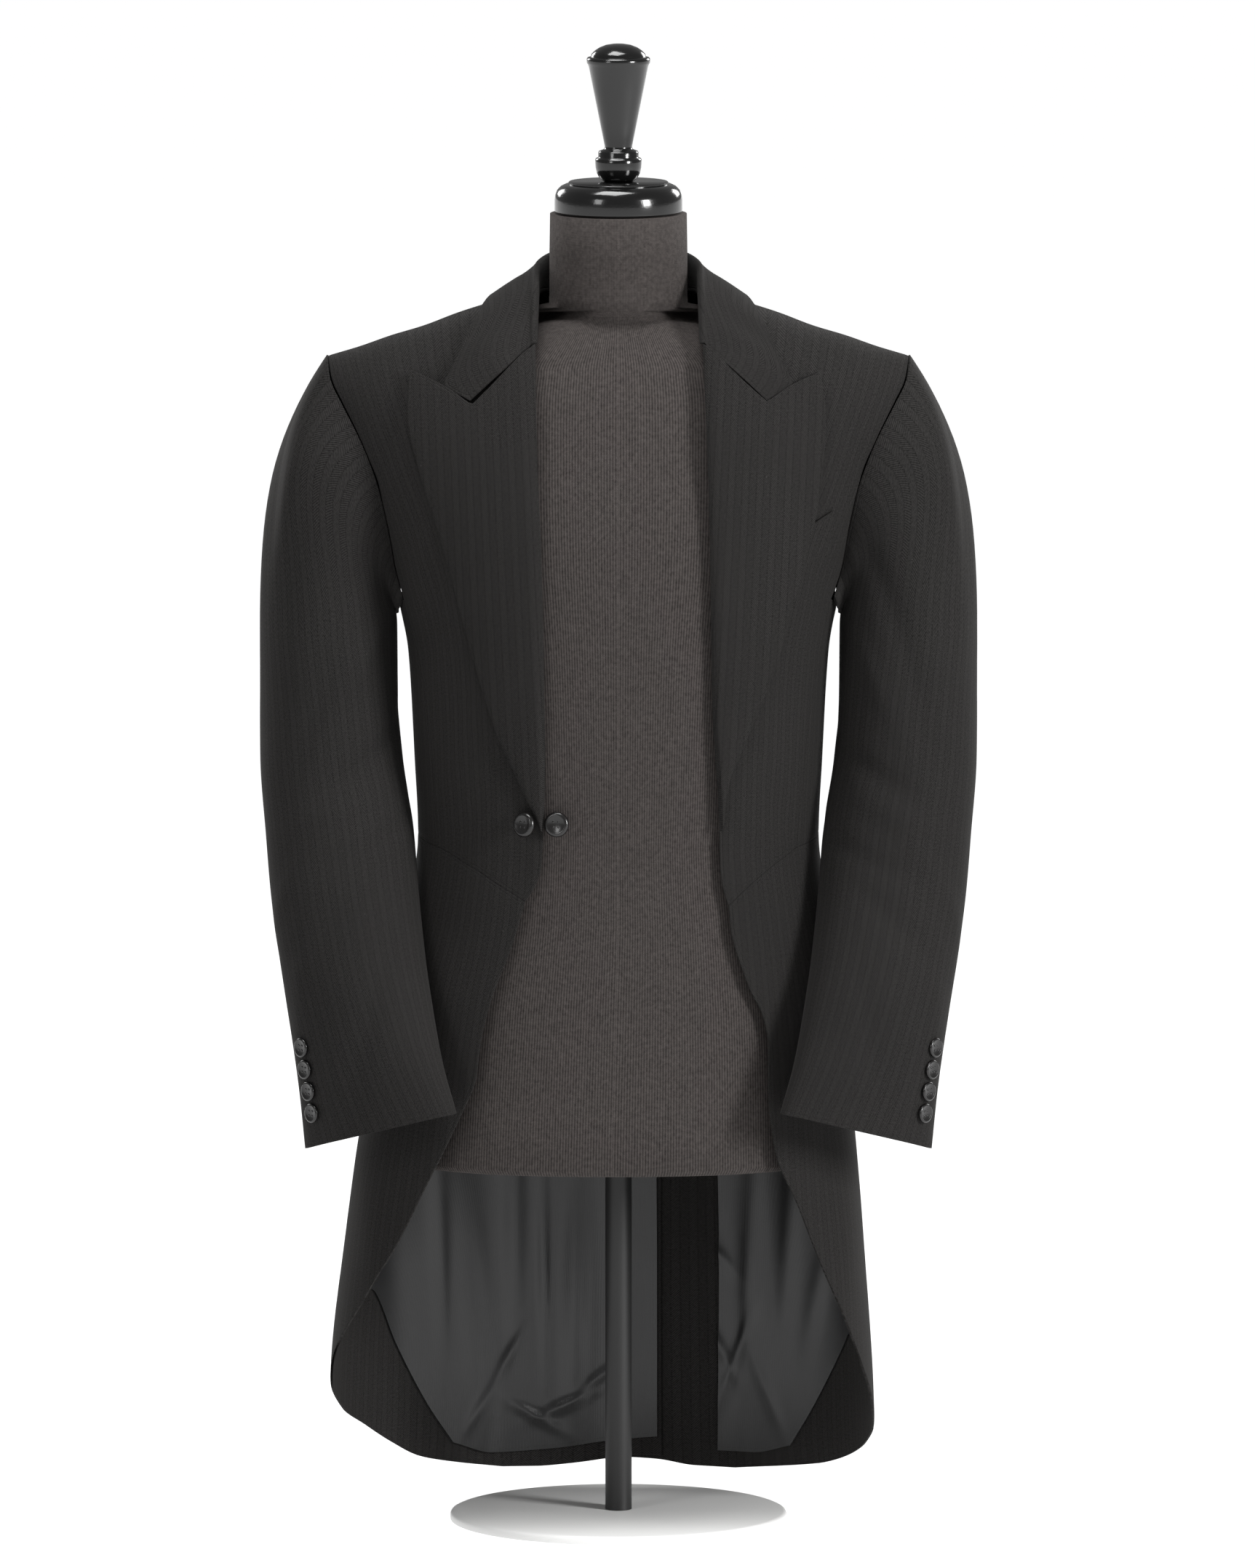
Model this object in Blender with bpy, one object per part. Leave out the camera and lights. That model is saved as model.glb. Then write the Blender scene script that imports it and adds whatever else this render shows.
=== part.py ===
"""A peaked-lapel morning coat hanging open-fronted on a limbless dress form with a slim pole and base."""

import math

import bpy
import numpy as np

# Lengths in the tables are millimetres. The coat faces -Y, +X is on the viewer's right, z is up.
MM = 0.001
MIDDLE = (0.0, 1.3, 0.0)
CLOTH = 2.0
LINING = 1.0
SEAM = 0.15
ROUND = 2.3
YOKE = 775.0
YOKE_SPAN = 200.0
RIDGE_ROUND = 2.5
TOP_PSI = 89.985

# The cloth's outer face round the body: height, half width, depth in front, depth behind, centre x.
BODY = (
    (30, 231, 151, 148, -14), (45, 229, 150, 148, -14), (136, 225, 146, 147, -14), (232, 216, 140, 146, -12),
    (332, 205, 132, 144, -9), (440, 190, 124, 136, -4), (520, 173, 117, 122, 0), (575, 166, 114, 112, 0),
    (640, 169, 118, 112, 0), (728, 174, 126, 120, 0), (775, 183, 130, 128, 0), (830, 200, 130, 136, 0),
    (900, 232, 127, 140, 0), (1000, 268, 120, 136, 0), (1060, 275, 112, 130, 0),
)
# The shoulder's ridge line: x from the middle, height.
RIDGE = ((0, 1029.5), (72, 1025.5), (103, 1017.5), (132, 1008.5), (161, 997.5), (188, 989.5), (214, 980.5), (242, 972.5), (275, 962.5))

# Outlines as (x, height). The left table is the viewer's left, the wearer's right.
CREASE = {
    "left": ((-62, 590), (-61, 618), (-60.5, 651), (-61, 684), (-61.8, 749), (-63.7, 826), (-66.3, 888),
             (-67.6, 938), (-68.2, 989.5)),
    "right": ((83.6, 590), (82.5, 618), (81, 640), (78, 684), (76.7, 749), (75.8, 815), (74.1, 878),
              (71.8, 938), (69.5, 989.5)),
}
FRONT_EDGE = {
    "left": ((-76.7, 532), (-68.5, 545), (-64, 558), (-62.8, 575), (-62, 590)),
    "right": ((91, 528), (86.8, 541), (84.6, 556), (83.8, 573), (83.6, 590)),
}
CUTAWAY = {
    "left": ((-76.7, 532), (-89.7, 490), (-101, 462), (-107, 444), (-114, 414), (-118, 384), (-129, 358), (-146, 321),
             (-162, 290), (-183, 245), (-207, 202), (-226, 169), (-238, 144)),
    "right": ((91, 528), (93.3, 505), (99.7, 483), (108.4, 459), (119, 437), (124, 412), (123.8, 381), (125.5, 351),
              (130.4, 321), (149.5, 276), (171, 220), (184, 187), (200, 146)),
}
HEM_CORNER = {
    "left": (("front", -238, 144), ("back", -239.5, 110), ("back", -231, 84), ("back", -212, 65), ("back", -190, 47),
             ("back", -167, 33), ("back", -134, 25.5), ("back", -98, 20.5)),
    "right": (("front", 200, 146), ("front", 212, 98), ("back", 213, 76), ("back", 207, 57), ("back", 191, 41),
              ("back", 169, 31.5), ("back", 139, 26.5), ("back", 98, 22.5)),
}
HEM_TAIL = {
    "left": (("back", -98, 20.5), ("back", -71, 20.5), ("back", -39, 23), ("back", -0.01, 29)),
    "right": (("back", 98, 22.5), ("back", 64, 23), ("back", 33, 27.5), ("back", 0.01, 29)),
}
LAPEL_EDGE = {
    "left": ((-65, 599.5), (-74.8, 618), (-83.2, 637), (-96.2, 665), (-107, 698), (-118, 737), (-133, 792),
             (-148, 845), (-163, 891), (-172, 934), (-175.5, 959.5)),
    "right": ((85.5, 599), (87.5, 617), (91, 635), (99.5, 656), (114.4, 693), (132, 742), (148.6, 804),
              (158.5, 841), (165, 880.5), (169, 931.5), (167.5, 956.5)),
}
GORGE = {
    "left": ((-68.2, 989.5), (-80, 979), (-103, 956), (-119, 940.5)),
    "right": ((69.5, 990.5), (80, 981), (103, 959), (121, 943.5)),
}
PEAK = {
    "left": ((-119, 940.5), (-142.3, 955), (-170.3, 966)),
    "right": ((121, 943.5), (142, 956), (165, 964.5)),
}
WAIST_FRONT = {
    "left": ((-76.7, 532), (-91, 540), (-123, 558.6), (-148, 571)),
    "right": ((91, 528), (110, 545), (133, 562), (148, 571)),
}
SIDE_SEAM = ((148, 571), (152, 620), (158, 680), (167, 735), (177, 775))
BACK_SEAM = ((57, 585), (82, 650), (112, 715), (146, 782), (176, 850))
TAIL_SEAM = ((57, 585), (62, 500), (72, 350), (86, 200), (98, 21.5))
WAIST_BEHIND = ((148, 571, "front"), (166.5, 578, "side"), (150, 582, "back"), (110, 584, "back"), (57, 585, "back"))
ARM_FRONT = ((177, 775), (184, 800), (187.5, 822), (192, 845), (198, 870.5), (206, 893.5), (215, 914), (228, 939), (237, 957.5),
             (241, 981))
ARM_BACK = ((176, 850), (186, 874), (200, 901), (216, 928.5), (230, 950), (237, 961.5), (241, 981))
UNDER_ARM = ((177, 775, "front"), (181.5, 765, "side"), (180, 778, "back"), (178, 812, "back"), (176, 850, "back"))

# The sleeve: height, centre x, centre y, half length and half thickness of its section, turn in degrees.
SLEEVE = (
    (745, 239.5, -2, 56.5, 66, 0), (690, 239.5, -6, 57, 63, 0), (640, 237.5, -13, 59, 60, 3), (585, 231, -30, 61.5, 56, 8),
    (530, 226, -53, 62, 50, 14), (480, 219.5, -75, 62.5, 44, 20), (430, 211.5, -92, 64, 37, 26), (385, 204, -102, 67, 31, 30),
    (341, 196, -108, 72, 25, 31),
)
CUFF_TILT = 19.5

FORM_RINGS = (304, 312, 370, 440, 510, 575, 640, 710, 775, 830, 880, 915, 941, 955, 964.5, 974, 983.5, 993.5, 1002.5, 1009.5)
FORM_EASE = ((304, 24), (440, 12), (575, 5.2), (1060, 5.2))
FORM_SIDE = ((775, 190), (830, 190), (866, 199), (903, 210), (938, 222), (953, 226), (1100, 226))
FORM_INSET = 6.0
NECK = ((1018.5, 57), (1032, 57.5), (1060, 57), (1091.5, 56.5))
FORM_POINTS = 32

CAP = ((0, 1092), (52.8, 1092), (52.8, 1103), (51.2, 1110), (46.5, 1114.4), (41.2, 1116), (40.5, 1118), (0, 1118))
FINIAL = (
    (0, 1118.3), (12.8, 1118.3), (15.8, 1121), (17.9, 1125), (19, 1129.5), (19.2, 1136), (16.6, 1138), (16.6, 1143),
    (11.6, 1145.5), (11.3, 1147), (24.8, 1214), (26.3, 1216.5), (26.3, 1220), (22.4, 1222), (21.5, 1224.5),
    (15.5, 1229.2), (8, 1231.4), (0, 1232),
)
POLE_RADIUS, POLE_FOOT, POLE_HEAD = 11.0, 8.3, 303.7
BASE = ((0, 0), (139, 0), (140, 1), (140, 5), (137, 7.2), (30, 8), (0, 8))

CUFF_BUTTON = ((8.0, 0.0), (8.0, 1.6), (7.2, 2.6), (5.6, 2.6), (4.8, 1.9), (0.0, 1.9))
LINK_SHANK = 6.6
LINK_BUTTON = ((10.5, 0.0), (10.5, 2.0), (9.2, 3.8), (6.8, 4.2), (5.6, 3.4), (0.0, 3.4))
WAIST_BUTTON = ((9.5, 0.0), (9.5, 1.8), (8.4, 3.2), (6.2, 3.6), (5.2, 2.8), (0.0, 2.8))
WAIST_BUTTON_AT = (56.0, 597.0)
SHOULDER = ((72, 1030.5), (88, 1029.5), (103, 1025.5), (132, 1016.5), (161, 1005.5), (188, 996.5), (214, 988.5), (241, 980.5))
WELT = (((84, 789), (113, 797), (150, 808), (173.6, 817.4)), ((92, 822), (121, 830), (156, 842), (175.5, 853.8)))


def table(rows, at):
    """Reads a table of (key, value...) rows at one key or an array of keys."""
    rows = np.array(rows, float)
    return [np.interp(at, rows[:, 0], rows[:, i]) for i in range(1, rows.shape[1])]


def ridge(x):
    return table(RIDGE, np.abs(x))[0]


def power(value, exponent):
    return np.sign(value) * np.abs(value) ** exponent


def base(t, h):
    """A point of the cloth's outer face: t is the angle round the body, h the height or the turn over the shoulder."""
    t, h = np.broadcast_arrays(np.asarray(t, float), np.asarray(h, float))
    psi = np.clip((h - YOKE) / YOKE_SPAN, 0, 1) * math.pi / 2
    rise, fall = np.sin(psi) ** (2 / RIDGE_ROUND), np.abs(np.cos(psi)) ** (2 / RIDGE_ROUND)
    across = power(np.sin(t), 2 / ROUND)
    z = np.array(h, float)
    for _ in range(12):
        half, front, behind, centre = table(BODY, z)
        x = centre + half * across
        z = np.where(h > YOKE, YOKE + (ridge(x) - YOKE) * rise, h)
    depth = np.where(np.cos(t) > 0, front, behind)
    y = -depth * power(np.cos(t), 2 / ROUND) * np.where(h > YOKE, fall, 1.0)
    return np.stack([x, y, z], axis=-1)


def skin(t, h, out=0.0):
    """The outer face moved out along its own normal."""
    h = np.minimum(h, YOKE + YOKE_SPAN * TOP_PSI / 90)
    step = 0.004
    along = base(t + step, h) - base(t - step, h)
    up = base(t, h) - base(t, h - 0.6)
    normal = np.cross(along, up)
    normal /= np.linalg.norm(normal, axis=-1, keepdims=True)
    return base(t, h) + np.asarray(out)[..., None] * normal


def place(x, z, face="front"):
    """The (t, h) of a point drawn at (x, z) on the front, the side or the back."""
    half, _, _, centre = table(BODY, z)
    side = -1.0 if x < 0 else 1.0
    share = float(np.clip(side * (x - centre) / half, -1, 1))
    t = math.copysign(math.asin(abs(share) ** (ROUND / 2)), share)
    if face == "side":
        t = math.pi / 2
    if face == "back":
        t = math.pi - t
    t *= side
    h = z
    if z > YOKE:
        rise = min(1.0, (z - YOKE) / (float(ridge(x)) - YOKE))
        h = YOKE + YOKE_SPAN * math.asin(rise ** (RIDGE_ROUND / 2)) / (math.pi / 2)
    return (t, min(h, YOKE + YOKE_SPAN * TOP_PSI / 90))


def drawn(points, face):
    """The rows of an outline as (x, z, face), with more points between rows on the same face."""
    rows = []
    for row in points:
        if isinstance(row[0], str):
            rows.append((row[1], row[2], row[0]))
        else:
            rows.append((row[0], row[1], row[2] if len(row) > 2 else face))
    finer = [rows[0]]
    for low, high in zip(rows, rows[1:]):
        parts = 6 if low[2] == high[2] else 1
        for k in range(1, parts + 1):
            share = k / parts
            finer.append((low[0] + share * (high[0] - low[0]), low[1] + share * (high[1] - low[1]), high[2]))
    return finer


def curve(points, count, face="front"):
    """Evenly spaced (t, h) points along a drawn outline."""
    placed = np.array([place(*row) for row in drawn(points, face)])
    at = skin(placed[:, 0], placed[:, 1])
    far = np.concatenate([[0], np.cumsum(np.linalg.norm(np.diff(at, axis=0), axis=1))])
    even = np.linspace(0, far[-1], count)
    return np.stack([np.interp(even, far, placed[:, 0]), np.interp(even, far, placed[:, 1])], axis=1)


def mirrored(points, side):
    """A drawn outline of the +X side, turned over to the -X side when that is wanted."""
    sign = 1 if side == "right" else -1
    return tuple((sign * row[0], *row[1:]) for row in points)


def join(*runs):
    """Several runs of points, end to end, without doubling the points they share."""
    whole = [runs[0]]
    for run in runs[1:]:
        whole.append(run[1:])
    return np.concatenate(whole)


def spread(start, end, bottom, top):
    """A grid filled between four edges: start and end run up, bottom and top run across."""
    rows, columns = len(start), len(bottom)
    v = np.linspace(0, 1, rows)[:, None, None]
    u = np.linspace(0, 1, columns)[None, :, None]
    across = (1 - u) * start[:, None] + u * end[:, None]
    upward = (1 - v) * bottom[None] + v * top[None]
    corners = ((1 - u) * (1 - v) * bottom[0] + u * (1 - v) * bottom[-1] + (1 - u) * v * top[0] + u * v * top[-1])
    return across + upward - corners


def drawn_in(grid, gap=SEAM):
    """The grid's edges moved in by half the gap at a seam."""
    grid = grid.copy()
    for axis in (0, 1):
        rows = np.moveaxis(grid, axis, 0)
        for edge, inner in ((0, 1), (-1, -2)):
            way = rows[inner] - rows[edge]
            rows[edge] += gap * way / np.maximum(np.linalg.norm(way, axis=-1, keepdims=True), 1e-9)
    return grid


def material(name, colour, rough=0.8, metal=0.0):
    finish = bpy.data.materials.new(name)
    finish.use_nodes = True
    shader = finish.node_tree.nodes["Principled BSDF"]
    shader.inputs["Base Color"].default_value = (*colour, 1)
    shader.inputs["Roughness"].default_value = rough
    shader.inputs["Metallic"].default_value = metal
    return finish


def add(name, points, faces, finish):
    """One closed mesh from points in millimetres."""
    mesh = bpy.data.meshes.new(name)
    mesh.from_pydata([tuple(p) for p in (np.asarray(points) + MIDDLE) * MM], [], [tuple(int(i) for i in f) for f in faces])
    mesh.validate()
    held = bpy.data.objects.new(name, mesh)
    bpy.context.scene.collection.objects.link(held)
    mesh.materials.append(finish)
    tris = np.array([[mesh.vertices[i].co[:] for i in p.vertices[:3]] for p in mesh.polygons])
    turned = 0.0
    for polygon in mesh.polygons:
        corners = [np.array(mesh.vertices[i].co) for i in polygon.vertices]
        for second, third in zip(corners[1:], corners[2:]):
            turned += float(np.dot(corners[0], np.cross(second, third)))
    if turned < 0 and len(tris):
        mesh.flip_normals()
    return held


def sheet(name, outer, inner, finish):
    """A wall between two grids of points, closed round its four edges."""
    rows, columns = outer.shape[:2]
    points = np.concatenate([outer.reshape(-1, 3), inner.reshape(-1, 3)])
    half = rows * columns
    faces = []
    for i in range(rows - 1):
        for j in range(columns - 1):
            a, b = i * columns + j, i * columns + j + 1
            c, d = a + columns, b + columns
            faces += [(a, b, d), (a, d, c), (half + b, half + a, half + d), (half + a, half + c, half + d)]
    ring = [(0, j) for j in range(columns)] + [(i, columns - 1) for i in range(1, rows)]
    ring += [(rows - 1, j) for j in range(columns - 2, -1, -1)] + [(i, 0) for i in range(rows - 2, 0, -1)]
    index = [i * columns + j for i, j in ring]
    for first, second in zip(index, index[1:] + index[:1]):
        faces += [(second, first, half + first), (second, half + first, half + second)]
    return add(name, points, faces, finish)


def panel(name, grid, finish, out=0.0, wall=CLOTH, gap=SEAM):
    """A cloth piece: the grid's outer face and its inner face, one wall apart."""
    out = np.broadcast_to(np.asarray(out, float), grid.shape[:2])
    outer = drawn_in(skin(grid[..., 0], grid[..., 1], out), gap)
    inner = drawn_in(skin(grid[..., 0], grid[..., 1], out - wall), gap)
    return sheet(name, outer, inner, finish)


def normals_of(grid):
    along = np.gradient(grid, axis=1)
    up = np.gradient(grid, axis=0)
    normal = np.cross(along, up)
    return normal / np.maximum(np.linalg.norm(normal, axis=-1, keepdims=True), 1e-9)


def turned(name, profile, finish, count=24, centre=(0, 0)):
    """A solid turned about an upright axis from (radius, height) rows that start and end on the axis."""
    points, rings = [], []
    for radius, z in profile:
        if radius == 0:
            rings.append([len(points)])
            points.append((centre[0], centre[1], z))
            continue
        rings.append(list(range(len(points), len(points) + count)))
        for k in range(count):
            angle = 2 * math.pi * k / count
            points.append((centre[0] + radius * math.cos(angle), centre[1] + radius * math.sin(angle), z))
    faces = []
    for low, high in zip(rings, rings[1:]):
        for k in range(count):
            a, b = low[k % len(low)], low[(k + 1) % len(low)]
            c, d = high[k % len(high)], high[(k + 1) % len(high)]
            if a != b:
                faces.append((a, b, d))
            if c != d:
                faces.append((a, d, c))
    return add(name, points, faces, finish)


def button(name, profile, at, facing, finish, lift=0.4, count=16):
    """A button turned from its profile, standing off a point along the direction it faces."""
    facing = np.array(facing, float) / np.linalg.norm(facing)
    side = np.cross(facing, (0, 0, 1.0))
    side /= np.linalg.norm(side)
    up = np.cross(side, facing)
    rows = [(0.0, 0.0), *profile]
    points, rings = [], []
    for radius, rise in rows:
        middle = np.array(at, float) + facing * (lift + rise)
        if radius == 0:
            rings.append([len(points)])
            points.append(middle)
            continue
        rings.append(list(range(len(points), len(points) + count)))
        for k in range(count):
            angle = 2 * math.pi * k / count
            points.append(middle + radius * (math.cos(angle) * side + math.sin(angle) * up))
    faces = []
    for low, high in zip(rings, rings[1:]):
        for k in range(count):
            a, b = low[k % len(low)], low[(k + 1) % len(low)]
            c, d = high[k % len(high)], high[(k + 1) % len(high)]
            if a != b:
                faces.append((a, b, d))
            if c != d:
                faces.append((a, d, c))
    return add(name, points, faces, finish)


def build_bodice(side, cloth):
    """The forepart, side body and back with its tail, for one side."""
    seam = curve(mirrored(SIDE_SEAM, side), 6)
    armhole = curve(mirrored(ARM_FRONT, side), 8)
    outer = join(seam, armhole)
    inner = join(curve(FRONT_EDGE[side], 4), curve(CREASE[side], len(outer) - 3))
    neck = place(*CREASE[side][-1])
    sign = 1 if side == "right" else -1
    throat = place(sign * 72, 1030.5)
    shoulder = join(curve([CREASE[side][-1], (sign * 70.5, 1008.5), (sign * 72, 1030.5)], 3),
                    curve(mirrored(SHOULDER, side), 6))
    shoulder[0], shoulder[2], shoulder[-1] = neck, throat, outer[-1]
    panel(f"forepart_{side}", spread(inner, outer, curve(WAIST_FRONT[side], len(shoulder)), shoulder), cloth)
    back_seam = curve(mirrored(BACK_SEAM, side), 6, "back")
    behind = curve(mirrored(WAIST_BEHIND, side), 9)
    under = curve(mirrored(UNDER_ARM, side), 9)
    panel(f"side_body_{side}", spread(seam, back_seam, behind, under), cloth)
    arm_back = curve(mirrored(ARM_BACK, side), 6, "back")
    tail_seam = curve(mirrored(TAIL_SEAM, side), 12, "back")[::-1]
    centre = curve([(sign * 0.01, z) for z in (585, 700, 850, 950, 1011.5)], 11, "back")
    behind_edge = join(back_seam, arm_back)
    top = join(curve([(sign * 0.01, 1011.5), (sign * 38, 1014.5), (sign * 72, 1030.5)], 3, "back"),
               curve(mirrored(SHOULDER, side), 6, "back"))
    top[-1] = arm_back[-1]
    tail_centre = curve([(sign * 0.01, z) for z in (29, 200, 380, 585)], 12, "back")
    across = curve([(sign * 0.01, 585), (sign * 57, 585)], 8, "back")
    hem = curve(HEM_TAIL[side][::-1], 8)
    upper = spread(centre, behind_edge, across, top)
    lower = spread(tail_centre, tail_seam, hem, across)
    panel(f"back_{side}", np.concatenate([lower[:-1], upper]), cloth)


def build_skirt(side, cloth, lining):
    """The skirt from the waist seam to the cutaway edge, and the lining inside the tails."""
    front = curve(CUTAWAY[side], 12)[::-1]
    tail_seam = curve(mirrored(TAIL_SEAM, side), 12, "back")[::-1]
    waist = join(curve(WAIST_FRONT[side], 8), curve(mirrored(WAIST_BEHIND, side), 9))
    hem = curve(HEM_CORNER[side], len(waist))
    panel(f"skirt_{side}", spread(front, tail_seam, hem, waist), cloth)


def build_lapel(side, cloth):
    crease = curve(CREASE[side], 14)
    edge = curve(LAPEL_EDGE[side], 14)
    top = join(curve(GORGE[side], 4), curve(PEAK[side], 5))
    tip = curve([PEAK[side][-1], LAPEL_EDGE[side][-1]], 2)
    edge[-1] = tip[1]
    edge[-1] = top[-1]
    foot = curve([CREASE[side][0], LAPEL_EDGE[side][0]], len(top))
    grid = spread(crease, edge, foot, top)
    u = np.linspace(0, 1, len(top))
    out = CLOTH + 0.4 + np.interp(u, (0, 0.15, 0.5, 1), (0.0, 3.8, 4.1, 3.0))
    panel(f"lapel_{side}", grid, cloth, out=np.broadcast_to(out, grid.shape[:2]))


def lining_edge(side):
    """The line where the lining meets the self-cloth facing, from high on the skirt down to the hem."""
    rows = {
        "left": (("front", -170, 330), ("front", -199, 262), ("front", -223, 222), ("side", -225, 200),
                 ("back", -207, 181), ("back", -187, 130), ("back", -163, 80), ("back", -140, 44)),
        "right": (("front", 158, 330), ("front", 178, 270), ("front", 196, 214), ("side", 202, 178),
                  ("back", 194, 145), ("back", 186, 124), ("back", 166, 80), ("back", 146, 44)),
    }
    return rows[side]


def build_tails(side, lining):
    """The lining inside one tail and skirt, up to where the form hides it."""
    sign = 1 if side == "right" else -1
    front = curve(lining_edge(side), 12)[::-1]
    hem = {"left": (("back", -140, 44), ("back", -105, 34), ("back", -60, 36), ("back", -6, 43)),
           "right": (("back", 146, 44), ("back", 114, 36), ("back", 84, 36))}[side]
    vent = {"left": ((-6, 43), (-6, 200), (-6, 330)), "right": ((84, 36), (85, 200), (82, 330))}[side]
    across = (("front", sign * (170 if side == "left" else 158), 330), ("side", sign * 205, 336), ("back", sign * 150, 332),
              ("back", vent[-1][0], 330))
    grid = spread(front, curve(vent, 12, "back"), curve(hem, 14), curve(across, 14))
    panel(f"lining_{side}", grid, lining, out=-CLOTH - 1.0, wall=LINING)


def sleeve_ring(z, tilt=0.0):
    """Centre, half length, half thickness and turn of the sleeve's section at one height."""
    rows = np.array(SLEEVE[::-1], float)
    return [float(np.interp(z, rows[:, 0], rows[:, i])) for i in range(1, 6)]


def sleeve_point(z, angle, sign, out=0.0):
    """A point on the sleeve at a height: angle 0 is its outer side and a quarter turn is its front."""
    x, y, long, thick, turn = sleeve_ring(z)
    turn = math.radians(turn)
    long_way = np.array((math.cos(turn), math.sin(turn), 0))
    front = np.array((math.sin(turn), -math.cos(turn), 0))
    drop = CUFF_TILT * min(1.0, max(0.0, (480 - z) / 139)) * math.cos(angle)
    at = np.array((x, y, z - drop)) + (long + out) * math.cos(angle) * long_way + (thick + out) * math.sin(angle) * front
    return at * (sign, 1, 1)


def armhole_loop(side, count):
    """The armhole as points of the outer face and their normals, from the shoulder down the front and up the back."""
    run = join(curve(mirrored(ARM_FRONT, side), 8)[::-1], curve(mirrored(UNDER_ARM, side), 9),
               curve(mirrored(ARM_BACK, side), 6, "back"))
    at = skin(run[:, 0], run[:, 1])
    normal = skin(run[:, 0], run[:, 1], np.ones(len(run))) - at
    far = np.concatenate([[0], np.cumsum(np.linalg.norm(np.diff(at, axis=0), axis=1))])
    even = np.linspace(0, far[-1], count + 1)[:-1]
    pick = [np.interp(even, far, values[:, k]) for values in (at, normal) for k in range(3)]
    return np.stack(pick[:3], axis=1), np.stack(pick[3:], axis=1)


def sleeve_grid(side, count=24, head=6, twist=85):
    """The sleeve's outer face as rings from the armhole to the cuff."""
    sign = 1 if side == "right" else -1
    start, normal = armhole_loop(side, count)
    rings = []
    levels = [row[0] for row in SLEEVE]
    turns = np.radians(np.linspace(0, twist, head + len(levels)))
    for step in range(head):
        share = step / head
        ring = []
        for k in range(count):
            angle = 2 * math.pi * k / count
            end = sleeve_point(levels[0], angle + turns[head], sign)
            upper = max(0.0, math.cos(angle)) ** 4
            away = np.array((sign * (0.75 + 0.25 * math.cos(angle) - 0.42 * upper), -0.3 * math.sin(angle),
                             -0.5 + 0.42 * math.cos(angle) - 0.77 * upper))
            away /= np.linalg.norm(away)
            first = start[k] + 0.5 * away + 0.5 * normal[k] + np.array((sign * 1.6 * math.sqrt(upper), 0, 0))
            far = np.linalg.norm(end - first)
            second = first + away * far * 0.36
            third = end + np.array((0, 0, 0.42 * far))
            a, b = 1 - share, share
            ring.append(a**3 * first + 3 * a * a * b * second + 3 * a * b * b * third + b**3 * end)
        rings.append(ring)
    for row, level in enumerate(levels):
        rings.append([sleeve_point(level, 2 * math.pi * k / count + turns[head + row], sign) for k in range(count)])
    return np.array(rings)[::-1]


def build_sleeve(side, cloth, horn, front_seam=9, back_seam=20):
    """The top and under sleeve and four cuff buttons along the elbow seam."""
    rings = sleeve_grid(side)
    around = np.concatenate([rings[:, -3:], rings, rings[:, :3]], axis=1)
    if side == "left":
        normal = normals_of(around[:, ::-1])[:, ::-1][:, 3:-3]
    else:
        normal = normals_of(around[:, ::-1])[:, ::-1][:, 3:-3]
    sign = 1 if side == "right" else -1
    centre = rings.mean(axis=1, keepdims=True)
    outward = np.sign(np.sum(normal[:8] * (rings - centre)[:8]))
    inner = rings - CLOTH * outward * normal
    count = rings.shape[1]
    runs = {"top": [k % count for k in range(back_seam, back_seam + count - (back_seam - front_seam) + 1)],
            "under": list(range(front_seam, back_seam + 1))}
    for name, columns in runs.items():
        sheet(f"{name}_sleeve_{side}", drawn_in(rings[:, columns], 0.55), drawn_in(inner[:, columns], 0.55), cloth)
    for number, z in enumerate((353.7, 370.2, 386.8, 403.4)):
        at = sleeve_point(z + 12, math.radians(47), sign)
        facing = np.array((sign * 0.77, -0.64, 0.0))
        button(f"cuff_button_{side}_{number + 1}", CUFF_BUTTON, at + facing * 0.9, facing, horn)


def collar_line(rows, count):
    """Even points along drawn (x, y, z) rows of the collar's +X half, the middle of the back last."""
    rows = np.array(rows, float)
    far = np.concatenate([[0], np.cumsum(np.linalg.norm(np.diff(rows, axis=0), axis=1))])
    even = np.interp(np.linspace(0, 1, count), np.linspace(0, 1, len(rows)), far)
    return np.stack([np.interp(even, far, rows[:, k]) for k in range(3)], axis=1)


def lifted(point, out):
    """A point pushed out of the cloth's outer face, at its own x and height."""
    x, y, z = point
    face = "back" if y > 0 else "front"
    if z >= float(ridge(x)) - 0.5:
        return np.array(point, float)
    t, h = place(x, z, face)
    pushed = skin(np.array(t), np.array(h), np.array(out))
    return pushed if abs(pushed[1]) > abs(y) else np.array(point, float)


COLLAR_FOLD = ((68.5, -75, 990.5), (68.5, -72, 995.5), (68.5, -65, 1004.5), (68, -50, 1020.5), (67, -27, 1036.5), (66, 0, 1047.5),
               (58, 32, 1053), (36, 55, 1056.5), (0, 64, 1057.5))
COLLAR_STAND = ((67.4, -73.5, 991.5), (67.4, -69, 994), (67.2, -61, 1000), (66.8, -45, 1009.5), (66.5, -24, 1018.5),
                (65.5, 0, 1025.5), (56.5, 31, 1023.5), (35, 53, 1018.5), (0, 61.3, 1015.5))
COLLAR_EDGE = ((121, 943.5), (142, 956), (136.5, 967.5), (127.5, 985), (121, 999), (103.4, 1017, 3), (84, 1007.5, "back"),
               (45, 999.5, "back"), (0.01, 996.5, "back"))


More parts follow.
